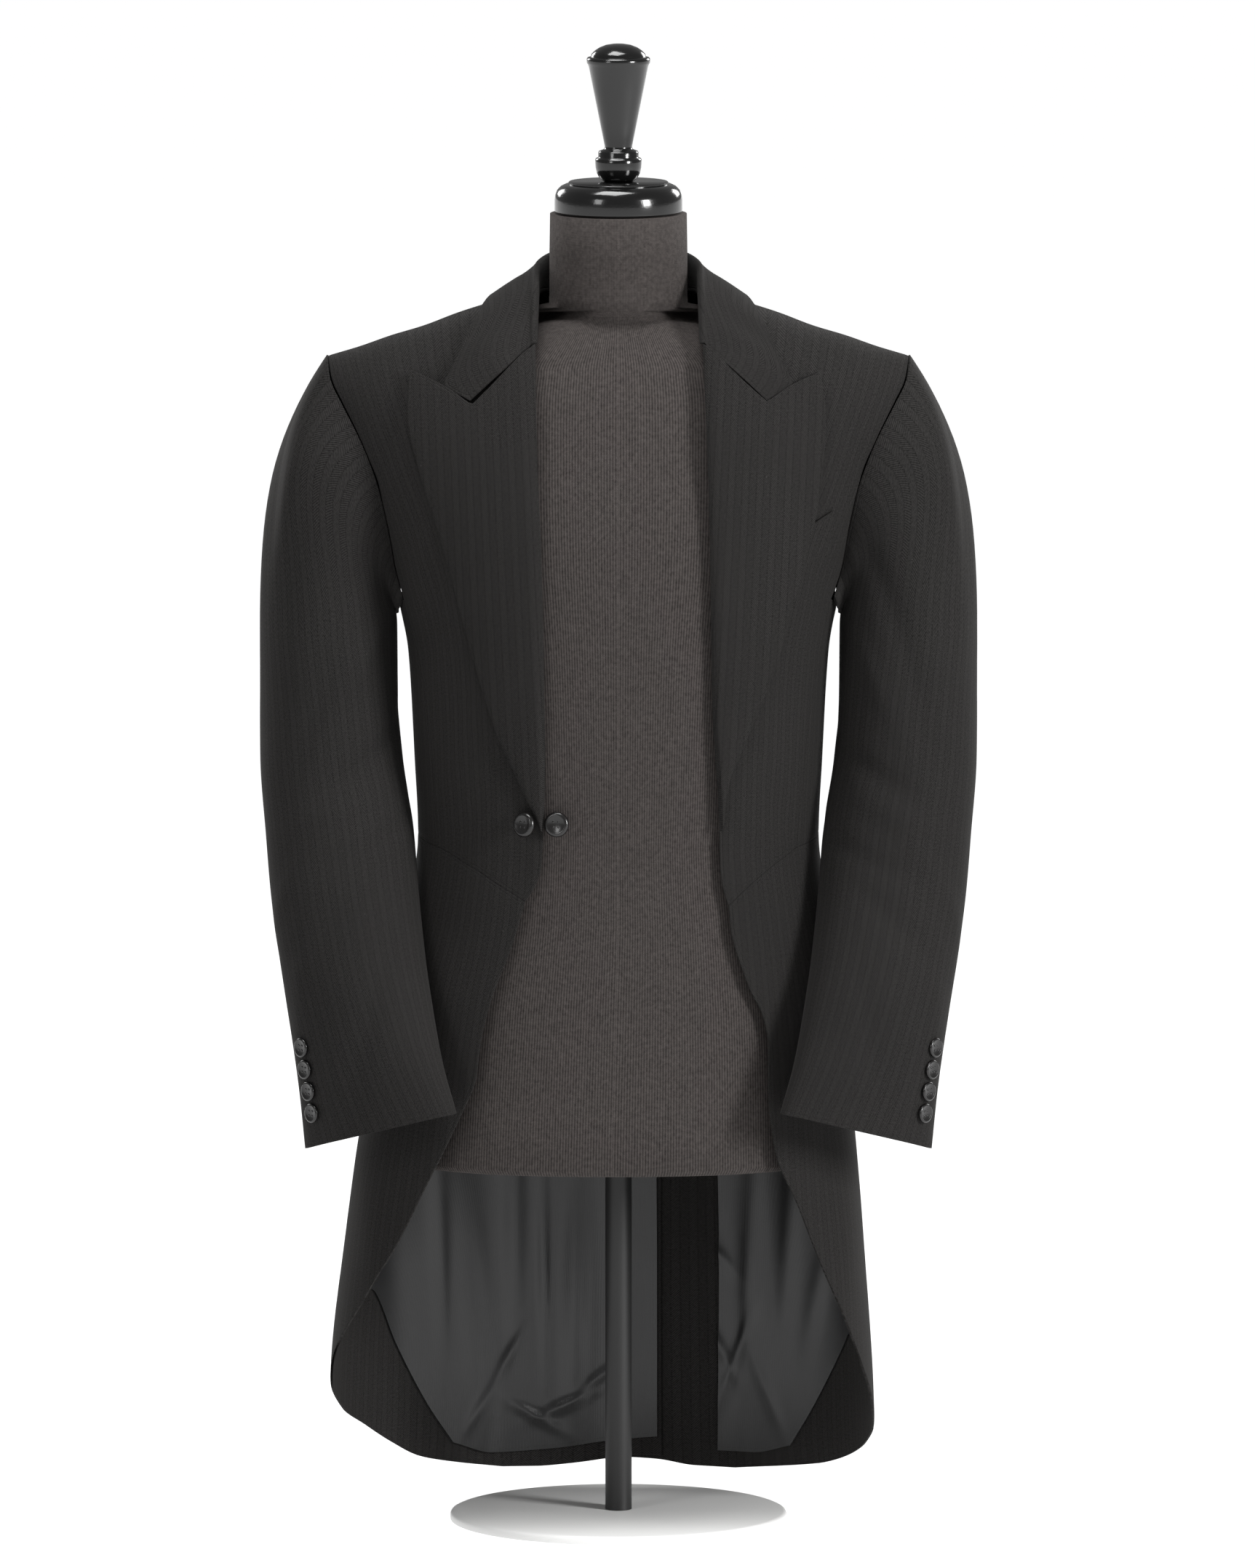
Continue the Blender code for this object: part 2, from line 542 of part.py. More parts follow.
def collar_rows(sign):
    """The collar's section lines for one half: stand, inside of the fold, fold, fall and outer edge."""
    fold, stand = np.array(COLLAR_FOLD, float), np.array(COLLAR_STAND, float)
    edge, fall = [], []
    for index, row in enumerate(COLLAR_EDGE):
        if len(row) == 3 and not isinstance(row[2], str):
            edge.append(np.array((row[0], row[2], row[1] + 7.0)))
            continue
        t, h = place(row[0], row[1], row[2] if len(row) > 2 else "front")
        edge.append(skin(np.array(t), np.array(h), np.array(3.4)))
    edge = np.array(edge)
    for top, low in zip(fold, edge):
        middle = 0.5 * (top + low) + np.array((0, 0, 1.0))
        fall.append(lifted(middle, 7.0))
    fall = np.array(fall)
    outward = edge - fold
    outward[:, 2] = 0
    outward /= np.linalg.norm(outward, axis=1, keepdims=True)
    over = fold + outward * 4.2 - np.array((0, 0, 2.4))
    inside = fold * 0.8 + stand * 0.2 - outward * 0.5
    lines = np.stack([stand, inside, fold + outward * 1.4 + np.array((0, 0, 0.6)), over, fall, edge])
    return lines * (sign, 1, 1)


def build_collar(cloth):
    """One collar, folded over its stand from gorge to gorge."""
    right, left = collar_rows(1), collar_rows(-1)
    lines = np.concatenate([left, right[:, ::-1][:, 1:]], axis=1)
    normal = normals_of(lines)
    sheet("collar", drawn_in(lines + 1.0 * normal, 0.5), drawn_in(lines - 1.0 * normal, 0.5), cloth)


def form_ring(z, points):
    """One level ring of the form, inside the coat, from front centre round by +X."""
    half, _, _, centre = (float(v) for v in table(BODY, z))
    ease = float(table(FORM_EASE, z)[0])
    wide = min(half - ease, float(table(FORM_SIDE, z)[0]))
    if z > 940:
        xs = np.linspace(0, 275, 600)
        under = xs[ridge(xs) > z + 5.5]
        wide = min(wide, float(under[-1]) - 1.0 if len(under) else 70.0)
    centre = 0.0 if z > 500 else centre * 0.5
    ring = []
    for k in range(points):
        angle = 2 * math.pi * k / points
        share = math.sin(angle)
        x = centre + wide * float(power(np.array(share), 0.9))
        face = "front" if math.cos(angle) >= 0 else "back"
        half_x = (x - centre) / wide * (half - 1.0)
        t, h = place(half_x + float(table(BODY, z)[3]), min(z + 2.8, float(ridge(half_x)) - 0.01), face)
        depth = abs(float(skin(np.array(t), np.array(h))[1]))
        inset = FORM_INSET + 4.5 * min(1.0, max(0.0, (z - 840) / 60))
        depth = max(depth - inset, 0.3 * depth, 0.8 * abs(math.cos(angle))) * (1.0 if z > 600 else 0.97)
        if abs(math.cos(angle)) < 1e-6:
            depth = 0.0
        ring.append((x, -depth if face == "front" else depth, z))
    return ring


def build_form(jersey, lacquer, iron, steel):
    """The form in one piece, its neck cap and finial, the pole and the base."""
    points = []
    count = FORM_POINTS
    rings = []
    for z in FORM_RINGS:
        rings.append(form_ring(z, count))
    for z, radius in NECK:
        rings.append([(radius * math.sin(2 * math.pi * k / count), -radius * math.cos(2 * math.pi * k / count) - 1.5, z)
                      for k in range(count)])
    points = [p for ring in rings for p in ring]
    faces = []
    for low in range(len(rings) - 1):
        for k in range(count):
            a, b = low * count + k, low * count + (k + 1) % count
            faces += [(a, b, b + count), (a, b + count, a + count)]
    bottom, top = len(points), len(points) + 1
    points += [(np.mean([p[0] for p in rings[0]]), 0.0, FORM_RINGS[0]), (0.0, -1.5, NECK[-1][0])]
    last = (len(rings) - 1) * count
    for k in range(count):
        faces += [(bottom, (k + 1) % count, k), (top, last + k, last + (k + 1) % count)]
    add("dress_form", points, faces, jersey)
    turned("neck_cap", [(r, z) for r, z in CAP], lacquer, 32, (0, -1.5))
    turned("finial", FINIAL, lacquer, 20, (0, -1.5))
    turned("pole", ((0, POLE_FOOT), (POLE_RADIUS, POLE_FOOT), (POLE_RADIUS, POLE_HEAD), (0, POLE_HEAD)), iron, 20)
    turned("base", BASE, steel, 40)


def build_trimmings(cloth, horn, thread):
    """The breast welt, the link buttons with their thread, and the two buttons at the back of the waist."""
    low, high = (curve(row, 7) for row in WELT)
    grid = spread(np.array([low[0], high[0]]), np.array([low[-1], high[-1]]), low, high)
    panel("breast_welt", grid, cloth, out=CLOTH + 0.7, wall=CLOTH)
    shank = [(2.2, 0.0), (2.2, LINK_SHANK)] + [(radius, rise + LINK_SHANK) for radius, rise in LINK_BUTTON]
    for name, x, foot, facing in (("link_button_outer", -72.0, 0.4, (-0.62, -0.76, 0.12)),
                                  ("link_button_inner", -49.5, -FORM_INSET, (-0.25, -0.96, 0.1))):
        t, h = place(x, 595.5)
        at = skin(np.array(t), np.array(h), np.array(foot))
        button(name, shank, at, facing, horn, lift=1.1, count=16)
    for side, sign in (("left", -1), ("right", 1)):
        t, h = place(sign * WAIST_BUTTON_AT[0], WAIST_BUTTON_AT[1], "back")
        at = skin(np.array(t), np.array(h))
        facing = skin(np.array(t), np.array(h), np.array(1.0)) - at
        button(f"waist_button_{side}", WAIST_BUTTON, at + 0.15 * facing, facing, horn)


def build():
    bpy.ops.object.select_all(action="DESELECT")
    for held in list(bpy.data.objects):
        bpy.data.objects.remove(held, do_unlink=True)
    cloth = material("coat_cloth", (0.03, 0.028, 0.028), 0.9)
    lining = material("lining_satin", (0.05, 0.051, 0.054), 0.45)
    horn = material("button_horn", (0.012, 0.011, 0.011), 0.25)
    jersey = material("form_jersey", (0.05, 0.042, 0.039), 0.95)
    lacquer = material("cap_lacquer", (0.008, 0.008, 0.008), 0.12)
    iron = material("pole_metal", (0.02, 0.02, 0.02), 0.5)
    steel = material("base_metal", (0.75, 0.75, 0.74), 0.45)
    for side in ("left", "right"):
        build_bodice(side, cloth)
        build_skirt(side, cloth, lining)
        build_lapel(side, cloth)
        build_tails(side, lining)
        build_sleeve(side, cloth, horn)
    build_collar(cloth)
    build_trimmings(cloth, horn, horn)
    build_form(jersey, lacquer, iron, steel)


build()
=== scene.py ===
"""Dresses the morning coat on its form: cloth panels, lining, buttons, form, stand, light and camera."""

from __future__ import annotations

import logging
import math
from collections.abc import Callable, Sequence
from dataclasses import dataclass, field
from enum import Enum

import bpy
import numpy as np
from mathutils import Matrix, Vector


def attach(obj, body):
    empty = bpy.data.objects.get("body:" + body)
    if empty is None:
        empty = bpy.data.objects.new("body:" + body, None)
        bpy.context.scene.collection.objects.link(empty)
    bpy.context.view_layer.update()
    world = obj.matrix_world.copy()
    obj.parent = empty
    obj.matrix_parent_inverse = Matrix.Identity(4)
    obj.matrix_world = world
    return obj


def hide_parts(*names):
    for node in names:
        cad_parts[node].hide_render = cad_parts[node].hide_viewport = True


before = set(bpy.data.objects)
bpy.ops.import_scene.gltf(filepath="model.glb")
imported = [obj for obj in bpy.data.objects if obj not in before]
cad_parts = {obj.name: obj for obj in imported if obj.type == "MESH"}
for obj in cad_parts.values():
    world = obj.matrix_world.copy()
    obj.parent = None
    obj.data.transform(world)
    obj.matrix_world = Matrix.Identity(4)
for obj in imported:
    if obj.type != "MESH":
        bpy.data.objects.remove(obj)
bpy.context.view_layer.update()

log = logging.getLogger("morning_coat")
logging.basicConfig(level=logging.INFO, format="%(message)s")

# Lengths are millimetres in the coat's own frame, whose origin MIDDLE moves onto the frame's.
MM = 0.001
MIDDLE = (0.0, 1.3, 0.0)
CLOTH = 2.0
LINING = 1.0
# The body's section is a superellipse of exponent ROUND. Above YOKE it turns over the shoulder's ridge.
ROUND = 2.3
YOKE, YOKE_SPAN = 775.0, 200.0
RIDGE_ROUND = 2.5
TOP_PSI = 89.985
GRAIN_RADIUS = 165.0
# The sleeve's section runs level from SLEEVE_TOP down to the cuff. The head joins it to the armhole.
SLEEVE_TOP, CUFF = 745.0, 341.0
SLEEVE_COLUMN = 3.9
TINY = 1e-9


class Side(Enum):
    """A side of the coat as the viewer sees it."""

    LEFT = "left"
    RIGHT = "right"

    @property
    def sign(self) -> int:
        """Which way X runs on this side."""
        return 1 if self is Side.RIGHT else -1


class Face(Enum):
    """The face of the body that a drawn point lies on."""

    FRONT = "front"
    SIDE = "side"
    BACK = "back"


Row = tuple[float, ...]
F, S, B = Face.FRONT, Face.SIDE, Face.BACK

# The cloth's outer face: height, half width, depth in front, depth behind, centre x.
BODY: Sequence[Row] = (
    (30, 231, 151, 148, -14), (45, 229, 150, 148, -14), (136, 225, 146, 147, -14), (232, 216, 140, 146, -12),
    (332, 205, 132, 144, -9), (440, 190, 124, 136, -4), (520, 173, 117, 122, 0), (575, 166, 114, 112, 0),
    (640, 169, 118, 112, 0), (728, 174, 126, 120, 0), (775, 183, 130, 128, 0), (830, 200, 130, 136, 0),
    (900, 232, 127, 140, 0), (1000, 268, 120, 136, 0), (1060, 275, 112, 130, 0),
)
# The shoulder's ridge: distance from the middle, height.
RIDGE: Sequence[Row] = (
    (0, 1029.5), (72, 1025.5), (103, 1017.5), (132, 1008.5), (161, 997.5), (188, 989.5), (214, 980.5),
    (242, 972.5), (275, 962.5),
)
# Outlines as the viewer sees them: x, height and, where it changes, the face that they lie on.
CREASE = {
    Side.LEFT: ((-62, 590), (-61, 618), (-60.5, 651), (-61, 684), (-61.8, 749), (-63.7, 826), (-66.3, 888),
                (-67.6, 938), (-68.2, 989.5)),
    Side.RIGHT: ((83.6, 590), (82.5, 618), (81, 640), (78, 684), (76.7, 749), (75.8, 815), (74.1, 878),
                 (71.8, 938), (69.5, 989.5)),
}
FRONT_EDGE = {
    Side.LEFT: ((-76.7, 532), (-68.5, 545), (-64, 558), (-62.8, 575), (-62, 590)),
    Side.RIGHT: ((91, 528), (86.8, 541), (84.6, 556), (83.8, 573), (83.6, 590)),
}
CUTAWAY = {
    Side.LEFT: ((-76.7, 532), (-89.7, 490), (-101, 462), (-107, 444), (-114, 414), (-118, 384), (-129, 358),
                (-146, 321), (-162, 290), (-183, 245), (-207, 202), (-226, 169), (-238, 144)),
    Side.RIGHT: ((91, 528), (93.3, 505), (99.7, 483), (108.4, 459), (119, 437), (124, 412), (123.8, 381),
                 (125.5, 351), (130.4, 321), (149.5, 276), (171, 220), (184, 187), (200, 146)),
}
HEM_CORNER = {
    Side.LEFT: ((-238, 144, F), (-239.5, 110, B), (-231, 84, B), (-212, 65, B), (-190, 47, B), (-167, 33, B),
                (-134, 25.5, B), (-98, 20.5, B)),
    Side.RIGHT: ((200, 146, F), (212, 98, F), (213, 76, B), (207, 57, B), (191, 41, B), (169, 31.5, B),
                 (139, 26.5, B), (98, 22.5, B)),
}
HEM_TAIL = {
    Side.LEFT: ((-98, 20.5), (-71, 20.5), (-39, 23), (-0.01, 29)),
    Side.RIGHT: ((98, 22.5), (64, 23), (33, 27.5), (0.01, 29)),
}
LAPEL_EDGE = {
    Side.LEFT: ((-65, 599.5), (-74.8, 618), (-83.2, 637), (-96.2, 665), (-107, 698), (-118, 737), (-133, 792),
                (-148, 845), (-163, 891), (-172, 934), (-175.5, 959.5)),
    Side.RIGHT: ((85.5, 599), (87.5, 617), (91, 635), (99.5, 656), (114.4, 693), (132, 742), (148.6, 804),
                 (158.5, 841), (165, 880.5), (169, 931.5), (167.5, 956.5)),
}
GORGE = {
    Side.LEFT: ((-68.2, 989.5), (-80, 979), (-103, 956), (-119, 940.5)),
    Side.RIGHT: ((69.5, 990.5), (80, 981), (103, 959), (121, 943.5)),
}
PEAK = {
    Side.LEFT: ((-119, 940.5), (-142.3, 955), (-170.3, 966)),
    Side.RIGHT: ((121, 943.5), (142, 956), (165, 964.5)),
}
WAIST_FRONT = {
    Side.LEFT: ((-76.7, 532), (-91, 540), (-123, 558.6), (-148, 571)),
    Side.RIGHT: ((91, 528), (110, 545), (133, 562), (148, 571)),
}
SIDE_SEAM = ((148, 571), (152, 620), (158, 680), (167, 735), (177, 775))
BACK_SEAM = ((57, 585), (82, 650), (112, 715), (146, 782), (176, 850))
TAIL_SEAM = ((57, 585), (62, 500), (72, 350), (86, 200), (98, 21.5))
WAIST_BEHIND = ((148, 571, F), (166.5, 578, S), (150, 582, B), (110, 584, B), (57, 585, B))
ARM_FRONT = ((177, 775), (184, 800), (187.5, 822), (192, 845), (198, 870.5), (206, 893.5), (215, 914),
             (228, 939), (237, 957.5), (241, 981))
ARM_BACK = ((176, 850), (186, 874), (200, 901), (216, 928.5), (230, 950), (237, 961.5), (241, 981))
UNDER_ARM = ((177, 775, F), (181.5, 765, S), (180, 778, B), (178, 812, B), (176, 850, B))
SHOULDER = ((72, 1030.5), (88, 1029.5), (103, 1025.5), (132, 1016.5), (161, 1005.5), (188, 996.5),
            (214, 988.5), (241, 980.5))
LINING_EDGE = {
    Side.LEFT: ((-170, 330, F), (-199, 262, F), (-223, 222, F), (-225, 200, S), (-207, 181, B),
                (-187, 130, B), (-163, 80, B), (-140, 44, B)),
    Side.RIGHT: ((158, 330, F), (178, 270, F), (196, 214, F), (202, 178, S), (194, 145, B), (186, 124, B),
                 (166, 80, B), (146, 44, B)),
}
LINING_HEM = {
    Side.LEFT: ((-140, 44), (-105, 34), (-60, 36), (0, 44), (33, 47)),
    Side.RIGHT: ((146, 44), (114, 36), (84, 36)),
}
LINING_VENT = {
    Side.LEFT: ((33, 47), (33, 200), (32, 330)),
    Side.RIGHT: ((84, 36), (85, 200), (82, 330)),
}
# The sleeve: height, centre x, centre y, half length and half thickness of its section, turn in degrees.
SLEEVE: Sequence[Row] = (
    (745, 239.5, -2, 56.5, 66, 0), (690, 239.5, -6, 57, 63, 0), (640, 237.5, -13, 59, 60, 3),
    (585, 231, -30, 61.5, 56, 8), (530, 226, -53, 62, 50, 14), (480, 219.5, -75, 62.5, 44, 20),
    (430, 211.5, -92, 64, 37, 26), (385, 204, -102, 67, 31, 30), (341, 196, -108, 72, 25, 31),
)
CUFF_TILT = 19.5
# The collar's fold and the foot of its stand as points, and its outer edge as an outline.
COLLAR_FOLD = ((68.5, -75, 990.5), (68.5, -72, 995.5), (68.5, -65, 1004.5), (68, -50, 1020.5),
               (67, -27, 1036.5), (66, 0, 1047.5), (58, 32, 1053), (36, 55, 1056.5), (0, 64, 1057.5))
COLLAR_STAND = ((67.4, -73.5, 991.5), (67.4, -69, 994), (67.2, -61, 1000), (66.8, -45, 1009.5),
                (66.5, -24, 1018.5), (65.5, 0, 1025.5), (56.5, 31, 1023.5), (35, 53, 1018.5),
                (0, 61.3, 1015.5))
COLLAR_EDGE = ((121, 943.5, F), (142, 956, F), (136.5, 967.5, F), (127.5, 985, F), (121, 999, F),
               (103.4, 1017, S), (84, 1007.5, B), (45, 999.5, B), (0.01, 996.5, B))
WELT = (((84, 789), (113, 797), (150, 808), (173.6, 817.4)),
        ((92, 822), (121, 830), (156, 842), (175.5, 853.8)))
# The form: heights of its rings, then its ease inside the coat and its widest half width, by height.
FORM_RINGS = (304, 305.5, 309, 340, 370, 405, 440, 475, 510, 542, 575, 607, 640, 675, 710, 742, 775, 803, 830,
              855, 880, 898, 915, 928, 941, 948, 955, 960, 964.5, 969, 974, 979, 983.5, 988.5, 993.5, 998,
              1002.5, 1006, 1009.5)
FORM_EASE = ((304, 24), (440, 12), (575, 5.2), (1060, 5.2))
FORM_SIDE = ((775, 190), (830, 190), (866, 199), (903, 210), (938, 222), (953, 226), (1100, 226))
FORM_INSET = 6.0
NECK = ((1016, 57.4), (1024, 57), (1034, 57), (1060, 57), (1091.5, 56.5))
# Turned pieces: radius, height.
CAP = ((0, 1092), (51.5, 1092), (52.6, 1092.8), (52.8, 1094), (52.8, 1103), (52.2, 1107), (50.6, 1111),
       (47.6, 1114), (44.2, 1115.6), (41.2, 1115.9), (41.4, 1117.2), (40.5, 1118), (0, 1118))
FINIAL = (
    (0, 1118.3), (12.4, 1118.3), (14.0, 1119.3), (15.8, 1121), (17.9, 1125), (18.9, 1129.5), (19.2, 1133.5),
    (19.2, 1136), (18.7, 1137.2), (16.9, 1138), (16.6, 1138.6), (16.6, 1142.3), (16.1, 1143.2),
    (12.4, 1144.6), (11.5, 1145.6), (11.3, 1147), (15.9, 1170), (20.5, 1193), (24.6, 1213.5), (25.4, 1215.2),
    (26.2, 1216.6), (26.3, 1218.4), (26.1, 1219.9), (25.2, 1220.8), (23.0, 1221.3), (22.5, 1222.2),
    (22.2, 1223.6), (19.6, 1226.2), (15.8, 1228.8), (10.5, 1230.9), (5.2, 1231.8), (0, 1232),
)
POLE = ((0, 8.3), (11, 8.3), (11, 303.7), (0, 303.7))
BASE = ((0, 0), (139, 0), (139.8, 0.4), (140, 1.2), (140, 4.6), (139.2, 6.2), (137, 7.2), (30, 8), (0, 8))
CUFF_BUTTON = ((0, 0), (7.6, 0), (8, 0.5), (8, 1.6), (7.7, 2.2), (7.1, 2.6), (6.3, 2.6), (5.5, 2.2),
               (4.7, 1.9), (0, 1.8))
LINK_BUTTON = ((0, 0), (9.9, 0), (10.5, 0.6), (10.5, 2), (10, 3), (9.2, 3.8), (8, 4.2), (7, 4.0), (5.6, 3.4),
               (0, 3.2))
WAIST_BUTTON = ((0, 0), (9, 0), (9.5, 0.6), (9.5, 1.8), (9, 2.7), (8.2, 3.3), (7.2, 3.6), (6.2, 3.3),
                (5.2, 2.8), (0, 2.6))
CUFF_BUTTON_HEIGHTS = (353.7, 370.2, 386.8, 403.4)
CUFF_BUTTON_ANGLE = 47.0
WAIST_BUTTON_AT = (56.0, 597.0)
LINK_HEIGHT = 595.5
LINK_SHANK = 6.6


def smooth(rows: Sequence[Row] | np.ndarray, at: np.ndarray | float) -> list[np.ndarray]:
    """Reads a table of (key, value...) rows along smooth curves that don't overshoot.

    Args:
        rows: The table, its keys rising.
        at: The keys to read it at.

    Returns:
        One array for each value column.
    """
    data = np.asarray(rows, float)
    keys, values = data[:, 0], data[:, 1:]
    step = np.diff(keys)[:, None]
    slope = np.diff(values, axis=0) / step
    tangent = np.zeros_like(values)
    same = slope[:-1] * slope[1:] > 0
    harmonic = 2 * slope[:-1] * slope[1:] / np.where(same, slope[:-1] + slope[1:], 1)
    tangent[1:-1] = np.where(same, harmonic, 0)
    tangent[0], tangent[-1] = slope[0], slope[-1]
    at = np.clip(np.asarray(at, float), keys[0], keys[-1])
    left = np.clip(np.searchsorted(keys, at, side="right") - 1, 0, len(keys) - 2)
    span = keys[left + 1] - keys[left]
    share = (at - keys[left]) / span
    found = []
    for column in range(values.shape[1]):
        low, high = values[left, column], values[left + 1, column]
        rise, fall = tangent[left, column] * span, tangent[left + 1, column] * span
        found.append(
            (2 * share**3 - 3 * share**2 + 1) * low + (share**3 - 2 * share**2 + share) * rise
            + (3 * share**2 - 2 * share**3) * high + (share**3 - share**2) * fall
        )
    return found


def power(value: np.ndarray, exponent: float) -> np.ndarray:
    """A power that keeps the sign of its base."""
    return np.sign(value) * np.abs(value) ** exponent


def travelled(points: np.ndarray, axis: int = 0) -> np.ndarray:
    """The distance travelled through points along one axis of their grid, from 0."""
    steps = np.linalg.norm(np.diff(points, axis=axis), axis=-1)
    return np.insert(np.cumsum(steps, axis=axis), 0, 0, axis=axis)


def turned_faces(rings: Sequence[Sequence[int]], count: int) -> list[tuple[int, ...]]:
    """Faces between neighbouring rings of a turned piece, where a ring of one point is a tip."""
    faces: list[tuple[int, ...]] = []
    for low, high in zip(rings, rings[1:]):
        for k in range(count):
            a, b = low[k % len(low)], low[(k + 1) % len(low)]
            c, d = high[k % len(high)], high[(k + 1) % len(high)]
            face = tuple(dict.fromkeys((a, b, d, c)))
            if len(face) > 2:
                faces.append(face)
    return faces


@dataclass(frozen=True)
class Crease:
    """A soft trough (negative) or ridge (positive) in the cloth, in millimetres and degrees.

    Args:
        x: Middle, across.
        z: Middle, height.
        turn: Direction of its length, 90 for upright.
        long: Half length.
        wide: Half width.
        deep: How far it moves the cloth out.
        face: The face it lies on.
    """

    x: float
    z: float
    turn: float
    long: float
    wide: float
    deep: float
    face: Face = Face.FRONT

    def lift(self, dx: np.ndarray, dz: np.ndarray) -> np.ndarray:
        """How far it moves out a point that lies (dx, dz) from its middle."""
        turn = math.radians(self.turn)
        along = dx * math.cos(turn) + dz * math.sin(turn)
        aside = -dx * math.sin(turn) + dz * math.cos(turn)
        return self.deep * np.exp(-((along / self.long) ** 2) - (aside / self.wide) ** 2)


def creases(*rows: tuple) -> tuple[Crease, ...]:
    """Creases from rows of x, height, direction, half length, half width, how far out and face."""
    return tuple(Crease(*row) for row in rows)


BODY_CREASES = creases(
    (-120, 600, 62, 60, 9, -1.6), (-136, 640, 70, 55, 8, 1.4), (-110, 560, 40, 40, 8, -1.2),
    (130, 610, 112, 60, 9, -1.6), (118, 585, 135, 45, 8, 1.2), (140, 700, 95, 60, 10, -1.2),
    (-150, 760, 80, 50, 9, -2.0), (-164, 800, 76, 45, 8, 1.8), (166, 800, 103, 48, 9, -2.0),
    (178, 850, 100, 40, 7, 1.4), (-190, 900, 72, 36, 8, -1.6), (196, 905, 108, 36, 8, -1.4),
    (-150, 470, 98, 90, 16, 2.6), (-175, 380, 95, 110, 15, -3.0), (-140, 400, 104, 80, 13, -2.0),
    (165, 470, 84, 90, 16, 2.2), (175, 360, 86, 110, 15, -2.8), (150, 420, 78, 70, 12, 2.0),
    (-205, 260, 94, 80, 14, 2.4), (190, 240, 88, 80, 13, 2.2), (-60, 800, 80, 120, 26, 1.6, B),
    (70, 820, 99, 120, 26, 1.6, B), (0, 700, 90, 90, 22, -1.2, B), (-110, 660, 60, 60, 12, -1.8, B),
    (112, 655, 118, 60, 12, -1.8, B), (-40, 610, 15, 40, 9, -1.2, B), (44, 622, 165, 40, 9, -1.4, B),
    (-96, 440, 93, 130, 17, 3.0, B), (-150, 330, 92, 150, 19, -3.4, B), (104, 430, 86, 130, 17, 3.2, B),
    (156, 320, 88, 150, 18, -3.0, B), (-40, 230, 91, 150, 18, 2.4, B), (38, 250, 89, 150, 17, -2.2, B),
    (-190, 200, 94, 90, 16, 2.8, B), (186, 210, 87, 90, 15, 2.6, B), (-168, 880, 70, 45, 10, -2.2, B),
    (170, 884, 110, 45, 10, -2.0, B), (0, 985, 0, 60, 9, -1.4, B),
)
# On the sleeve x is the angle in degrees from its outer side towards the front, and widths are millimetres.
SLEEVE_CREASES = {
    Side.LEFT: creases(
        (70, 890, 80, 60, 9, -2.4), (40, 850, 84, 80, 11, 2.0), (105, 800, 70, 70, 9, -2.6),
        (130, 740, 60, 60, 9, 2.2), (85, 700, 72, 80, 11, -2.2), (120, 640, 35, 46, 8, -3.2),
        (100, 605, 20, 44, 8, 2.6), (125, 575, 28, 44, 8, -3.2), (70, 560, 50, 60, 9, 1.8),
        (95, 520, 40, 50, 9, -2.2), (60, 470, 76, 70, 11, 1.8), (110, 430, 70, 60, 9, -2.2),
        (75, 385, 84, 40, 8, 1.2), (-60, 760, 95, 110, 13, -2.6), (-90, 650, 100, 90, 12, 2.4),
        (-50, 560, 105, 80, 11, -2.2), (-100, 460, 98, 80, 11, 2.0), (10, 780, 90, 90, 12, 1.4),
    ),
    Side.RIGHT: creases(
        (72, 880, 84, 64, 9, -2.2), (36, 842, 90, 84, 11, 1.8), (108, 790, 74, 66, 9, -2.8),
        (128, 726, 64, 58, 9, 2.2), (82, 690, 76, 84, 12, -2.0), (118, 632, 30, 48, 8, -3.4),
        (96, 598, 24, 44, 8, 2.4), (128, 566, 22, 44, 8, -3.0), (66, 548, 56, 60, 9, 2.0),
        (92, 508, 44, 54, 9, -2.4), (58, 462, 80, 70, 11, 1.8), (108, 424, 74, 60, 9, -2.0),
        (72, 380, 88, 40, 8, 1.2), (-64, 740, 93, 110, 13, -2.4), (-88, 640, 102, 90, 12, 2.2),
        (-52, 548, 100, 80, 11, -2.4), (-98, 450, 96, 80, 11, 2.0), (8, 770, 90, 90, 12, 1.4),
    ),
}
LINING_CREASES = creases(
    (-152, 200, 92, 90, 7, 3.0, B), (-88, 215, 90, 110, 9, 4.0, B), (-63, 190, 91, 75, 4.5, 3.4, B),
    (-120, 160, 96, 60, 8, -1.6, B), (-36, 180, 89, 90, 9, 2.4, B), (-105, 80, 78, 30, 6, 2.0, B),
    (112, 190, 88, 100, 8, 3.2, B), (146, 220, 86, 90, 8, 2.6, B), (98, 110, 70, 40, 5, 2.4, B),
    (126, 90, 110, 36, 5, 2.0, B), (170, 180, 80, 50, 7, 2.2, B), (-36, 160, 90, 100, 14, 4.4, B),
    (-122, 160, 94, 100, 14, 4.2, B), (-92, 118, 62, 22, 3.6, 2.6, B), (-44, 74, 24, 26, 4.4, 2.2, B),
    (-70, 64, 150, 22, 4.2, 2.0, B), (-118, 72, 60, 22, 4.2, 2.0, B), (-18, 96, 40, 18, 4, 1.8, B),
    (66, 236, 128, 24, 4.4, 2.4, B), (80, 208, 132, 26, 4.6, 2.2, B), (60, 150, 120, 22, 4, 1.8, B),
    (84, 128, 118, 26, 4.6, 2.2, B), (62, 62, 100, 18, 4, 2.2, B), (120, 150, 96, 70, 13, 3.6, B),
)


